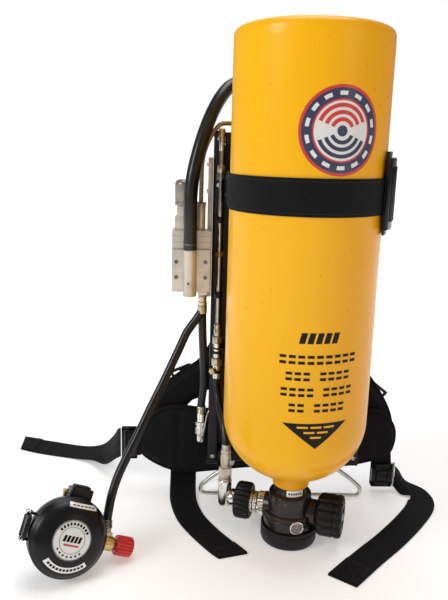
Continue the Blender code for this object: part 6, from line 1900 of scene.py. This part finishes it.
# ---------------------------------------------------------------- harness
@dataclass
class Harness:
    """The padded straps, the waist pad, the belt tails and the buckle."""

    plate_back: float = 0.1153
    pad_y: float = 0.12235
    pad_thickness: float = 0.0135
    strap_y: float = 0.1344
    top: float = 0.492
    webbing: float = 0.002
    flat: float = 0.0013

    def build(self) -> None:
        """Builds every soft piece and its hardware."""
        self._shoulder("left", -1, [
            (0.083, 0.218, 0.80, 0.60, 0.050), (0.110, 0.180, 0.45, 0.89, 0.046),
            (0.140, 0.158, 0.40, 0.91, 0.046), (0.166, 0.130, 0.85, 0.52, 0.046),
            (0.176, 0.092, 1.00, 0.10, 0.046)])
        self._shoulder("right", 1, [
            (0.082, 0.214, 0.80, 0.60, 0.050), (0.104, 0.172, 0.62, 0.78, 0.046),
            (0.127, 0.138, 0.62, 0.78, 0.046), (0.142, 0.104, 0.97, 0.25, 0.044),
            (0.143, 0.072, 1.00, -0.05, 0.044)])
        self._waist()
        self._tails()
        self._buckle()

    def _shoulder(self, side_name: str, side: int, lower: Sequence[tuple[float, ...]]) -> None:
        """Builds one shoulder strap: its padding, its webbing, its seams and its slide."""
        face, y, top = (1.0, 0.0, 0.0), self.strap_y, self.top
        keys: list[Span] = [
            ((side * 0.054, y - 0.0135, top), face, 0.060),
            ((side * 0.054, y - 0.0060, top - 0.030), face, 0.060),
            ((side * 0.055, y + 0.0100, top - 0.070), face, 0.060),
            ((side * 0.057, y + 0.0180, top - 0.120), face, 0.060),
            ((side * 0.060, y + 0.0160, top - 0.180), face, 0.060),
            ((side * 0.068, y + 0.0080, top - 0.230), (0.97, 0.0, 0.24 * side), 0.056),
        ]
        keys += [((side * x, y, z), (ax, 0.0, az * side), w) for x, z, ax, az, w in lower]
        form = Fabric.strap(Shape(), keys, 0.0074, 80, 0.006, 0.994, narrow=0.95)
        pad = Fabric.puffed(form, 0.0038, 0.0016)
        piece = finish(f"shoulder_pad_{side_name}", pad, PAD_BLACK, replaces=[f"shoulder_strap_{side_name}"],
            smooth=80, soften=1)
        finish(f"shoulder_webbing_{side_name}", Fabric.strap(Shape(), keys, 0.0016, 110, 0.02, 0.985, 0.0054,
            0.62), STRAP_BLACK)
        edging = Shape()
        for across in (-0.475, 0.475):
            edging.tube([Fabric.surface(keys, 0.01 + 0.98 * i / 110, across, 0.0) for i in range(111)], 0.0021,
                10)
        finish(f"shoulder_edging_{side_name}", edging, STRAP_BLACK, smooth=80)
        seams = Shape()
        for across, lift in ((-0.28, 0.0063), (0.28, 0.0063), (-0.28, -0.0046), (0.28, -0.0046)):
            Fabric.seam(seams, keys, across, lift, 0.03, 0.97)
        for start in (0.16, 0.34, 0.52):
            wide = Fabric.values(keys, start)
            points = [Fabric.surface(keys, start, a, 0.0063) for a in (-0.28, -0.14, 0.0, 0.14, 0.28)]
            ups = [Fabric.surface(keys, start, 0, 0.01) - wide[0]] * 5
            Fabric.stitches(seams, points, ups)
        finish(f"shoulder_seams_{side_name}", seams, THREAD_GREY)
        self._slide(f"shoulder_slide_{side_name}", keys, 0.80, 0.0074, 0.050)
        anchor = Shape()
        anchor.rod(0.0022, -0.034, 0.034, lay((1, 0, 0), (side * 0.054, y - 0.0080, top + 0.0040)), 24)
        for end in (-1, 1):
            anchor.block((side * 0.054 + end * 0.033 - 0.002, self.plate_back, top - 0.001),
                (side * 0.054 + end * 0.033 + 0.002, y - 0.0060, top + 0.009), 0.0008)
        finish(f"shoulder_anchor_{side_name}", anchor, STEEL)

    def _slide(self, name: str, keys: Sequence[Span], share: float, lift: float, width: float) -> None:
        """Builds a three-bar slide that lies on a strap."""
        middle = Fabric.surface(keys, share, 0, lift)
        side = Fabric.values(keys, share)[1]
        up = (Fabric.surface(keys, share, 0, lift + 0.01) - middle).normalized()
        place = Matrix.Translation(middle) @ Matrix((side, up.cross(side), up)).transposed().to_4x4()
        slide = Shape()
        for y in (-0.014, 0.0, 0.014):
            slide.block((-width / 2, y - 0.0020, -0.0014), (width / 2, y + 0.0020, 0.0014), 0.0007, place)
        for x in (-1, 1):
            slide.block((x * width / 2 - 0.0022, -0.016, -0.0016), (x * width / 2 + 0.0022, 0.016, 0.0016),
                0.0009, place)
        finish(name, slide, PLASTIC_BLACK)

    def _waist(self) -> None:
        """Builds the waist pad with its sewn channels, its edging and the belt across it."""
        keys = [
            (0.0, 0.128), (-0.060, 0.124), (-0.110, 0.126), (-0.155, 0.130), (-0.185, 0.120), (-0.204, 0.090),
            (-0.208, 0.060), (-0.180, 0.038), (-0.145, 0.028), (-0.100, 0.031), (-0.050, 0.036), (0.0, 0.035),
            (0.050, 0.037), (0.100, 0.042), (0.135, 0.050), (0.158, 0.057), (0.168, 0.080), (0.164, 0.108),
            (0.140, 0.128), (0.100, 0.127), (0.050, 0.125),
        ]
        closed = [*keys, *keys[:3]]
        rim = [curve_point(closed, 1 + i / 6) for i in range(6 * len(keys))]
        middle = Vector((sum(p[0] for p in rim), sum(p[1] for p in rim))) / len(rim)
        inset, edge = ([middle + (Vector(p) - middle) * (1 - cut / (Vector(p) - middle).length) for p in rim]
            for cut in (0.0010, 0.0032))
        thin = 0.0095
        upright = Matrix.Translation((0, self.pad_y + thin / 2, 0)) @ Matrix.Rotation(math.pi / 2, 4, "X")
        pad = Fabric.puffed(Shape().plate(inset, 0, thin, upright, 0.0025, 3), 0.0042, 0.0018)
        half = self.pad_thickness / 2
        for vert in pad.bm.verts:
            for seam in (-0.150, -0.100, -0.050, 0.0, 0.050, 0.100):
                near = max(0.0, 1 - abs(vert.co.x - seam) / 0.008)
                vert.co.y += (self.pad_y - vert.co.y) * 0.42 * near * near
            vert.co.y = min(max(vert.co.y, self.pad_y - half), self.pad_y + half)
        piece = finish("waist_pad_padded", pad, PAD_BLACK, replaces=["waist_pad"], smooth=80, soften=1)
        piping = [Vector((x, self.pad_y, z)) for x, z in [*edge, edge[0]]]
        finish("waist_pad_edging", Shape().tube(piping, 0.0032, 12), STRAP_BLACK, smooth=80)
        out = (0.0, 1.0, 0.0)
        belt: list[Span] = [((x, self.pad_y + half + 0.0012, z), (0.0, 0.0, 1.0), 0.045)
                            for x, z in ((-0.136, 0.083), (-0.09, 0.082), (-0.03, 0.081), (0.03, 0.082),
                            (0.08, 0.084), (0.111, 0.086))]
        finish("waist_belt_webbing", Fabric.strap(Shape(), belt, 0.0016, 60), STRAP_BLACK)
        seams = Shape()
        for across in (-0.44, 0.44):
            Fabric.seam(seams, belt, across, 0.0009)
            Fabric.seam(seams, belt, across, -0.0009)
        for x in (-0.150, -0.100, -0.050, 0.0, 0.050, 0.100):
            for face in (-1, 1):
                points = [Vector((x, self.pad_y + face * half * 0.60, 0.046 + 0.010 * i)) for i in range(8)]
                Fabric.stitches(seams, points, [Vector(out) * face] * 8)
        Fabric.box_stitch(seams, belt, 0.02, 0.14, 0.0009)
        Fabric.box_stitch(seams, belt, 0.86, 0.98, 0.0009)
        finish("waist_seams", seams, THREAD_GREY)

    def _tail(self, name: str, node: str, keys: Sequence[Span], up: int, steps: int = 80) -> None:
        """Builds one loose belt tail with a folded, stitched end."""
        finish(name, Fabric.strap(Shape(), keys, self.webbing, steps), STRAP_BLACK, replaces=[node])
        fold = 1 - 0.026 / Fabric.length(keys)
        hem = Fabric.strap(Shape(), keys, 0.0015, 8, fold, 0.999, up * 0.00176, 0.98)
        finish(f"{name}_hem", hem, STRAP_BLACK)
        seams = Fabric.box_stitch(Shape(), keys, fold + 0.006, 0.992, up * 0.0026)
        for across in (-0.45, 0.45):
            Fabric.seam(seams, keys, across, up * 0.0011, 0.02, fold - 0.005)
        finish(f"{name}_stitches", seams, THREAD_GREY)

    def _tails(self) -> None:
        """Builds the three loose tails."""
        y, flat = self.pad_y, self.flat
        self._tail("belt_tail_left", "waist_tail_left", [
            ((-0.2353, y, 0.072), (0.0, 0.0, 1.0), 0.045),
            ((-0.2440, 0.1400, 0.0600), (0.10, 0.25, 0.96), 0.045),
            ((-0.2600, 0.1760, 0.0330), (0.20, 0.65, 0.73), 0.045),
            ((-0.2820, 0.2100, flat + 0.0115), (0.22, 0.96, 0.16), 0.045),
            ((-0.3150, 0.2290, flat + 0.0012), (0.25, 0.97, 0.0), 0.045),
            ((-0.3700, 0.2450, flat + 0.0004), (0.25, 0.97, 0.0), 0.045),
            ((-0.4180, 0.2620, flat), (-0.10, 0.99, 0.0), 0.045)], 1)
        self._tail("belt_tail_right", "waist_tail_right", [
            ((0.1685, y, 0.0270), (0.0, 0.20, 0.98), 0.030),
            ((0.1800, y + 0.001, 0.0150), (0.05, 0.75, 0.66), 0.038),
            ((0.1930, 0.1210, flat + 0.0050), (0.10, 0.99, 0.08), 0.038),
            ((0.2050, 0.1080, flat + 0.0010), (0.80, 0.60, 0.0), 0.038),
            ((0.2000, 0.0800, flat), (0.93, -0.37, 0.0), 0.038),
            ((0.1750, 0.0420, flat), (0.80, -0.60, 0.0), 0.038),
            ((0.1350, -0.0060, flat), (0.72, -0.69, 0.0), 0.038),
            ((0.0950, -0.0480, flat), (0.68, -0.73, 0.0), 0.038),
            ((0.0540, -0.0930, flat), (0.80, -0.60, 0.0), 0.038)], -1, 110)
        behind, x, face = 0.1314, -0.143, (1.0, 0.0, 0.0)
        self._tail("shoulder_strap_tail", "shoulder_tail_left", [
            ((x, behind, 0.064), face, 0.038), ((x, behind + 0.001, 0.038), face, 0.038),
            ((x, behind - 0.006, 0.0150), face, 0.038), ((x + 0.0005, behind - 0.026, flat + 0.0050), face,
            0.038), ((x + 0.0030, 0.0800, flat + 0.0003), (0.99, 0.10, 0.0), 0.038),
            ((-0.1290, 0.0400, flat), (0.93, 0.37, 0.0), 0.038),
            ((-0.1110, 0.0060, flat), (0.82, 0.57, 0.0), 0.038),
            ((-0.0900, -0.0250, flat), (0.82, 0.57, 0.0), 0.038),
            ((-0.0730, -0.0470, flat), (0.95, 0.30, 0.0), 0.038)], -1)

    def _buckle(self) -> None:
        """Builds the belt buckle's two halves, its button and its springs' slots."""
        y = self.pad_y
        tongue = Shape()
        for a, b in (((-0.2330, 0.048), (-0.2290, 0.096)), ((-0.2240, 0.048), (-0.2105, 0.096)),
            ((-0.2330, 0.048), (-0.2105, 0.0525)),
                     ((-0.2330, 0.0915), (-0.2105, 0.096))):
            tongue.block((a[0], y - 0.0040, a[1]), (b[0], y + 0.0040, b[1]), 0.0010)
        for z in (0.060, 0.068, 0.076, 0.084):
            tongue.block((-0.2225, y - 0.0044, z), (-0.2125, y + 0.0044, z + 0.0020), 0.0005)
        finish("buckle_tongue_frame", tongue, PLASTIC_BLACK, replaces=["buckle_tongue"])
        low, high = (0.136, y - 0.0065, 0.010), (0.166, y + 0.0065, 0.046)
        shell = Shape()
        for a, b in (
            ((low[0], low[1] + 0.0060, low[2]), high), (low, (0.1425, high[1], high[2])),
            ((0.1595, low[1], low[2]), high), (low, (high[0], high[1], 0.0195)),
            ((low[0], low[1], 0.0365), high),
        ):
            shell.block(a, b, 0.0012)
        for z in (0.0125, 0.0155, 0.0405, 0.0430):
            shell.block((0.139, y - 0.0070, z), (0.163, y - 0.0062, z + 0.0012), 0.0003)
        finish("buckle_shell", shell, PLASTIC_BLACK, replaces=["buckle_receptacle"])
        button = Shape().block((0.1432, y - 0.0073, 0.0202), (0.1588, y - 0.0030, 0.0358), 0.0010)
        finish("buckle_push_button", button, PLASTIC_BLACK, "buckle_release", ["buckle_button"])
        through = Shape()
        for lift in (-0.0019, 0.0019):
            loop_keys: list[Span] = [((x, y + lift * rise, 0.072), (0.0, 0.0, 1.0), 0.0385)
                                     for x, rise in ((-0.2050, 0.6), (-0.2120, 1.0), (-0.2200, 1.0),
                                     (-0.2262, 0.8), (-0.2284, 0.3))]
            Fabric.strap(through, loop_keys, 0.0014, 24)
        finish("buckle_tongue_webbing", through, STRAP_BLACK)
        link = Shape()
        for lift in (-0.0012, 0.0012):
            link_keys: list[Span] = [((x, y + lift, z), (1.0, 0.0, 0.0), 0.0270) for x,
                z in ((0.1490, 0.0640), (0.1500, 0.0560), (0.1510, 0.0455))]
            Fabric.strap(link, link_keys, 0.0016, 16)
        finish("buckle_link_webbing", link, STRAP_BLACK)
        loop = Shape().tube([Vector((0.1690, y + 0.011 * c, 0.0270 + 0.0185 * s)) for s, c in
                             ((math.sin(TAU * i / 32), 0.35 * math.cos(TAU * i / 32)) for i in range(33))],
                             0.0016, 12)
        finish("buckle_loop", loop, STEEL)


def main() -> None:
    """Builds the assemblies in order."""
    logging.basicConfig(level=logging.INFO, format="%(message)s")
    for assembly in (Studio(), Lines(), Cylinder(), BandLatch(), Valve(), BackFrame(), Reducer(), Regulator(),
        ShoulderGauge(), Harness()):
        LOG.info("-- %s", type(assembly).__name__)
        assembly.build()


if __name__ == "__main__":
    main()
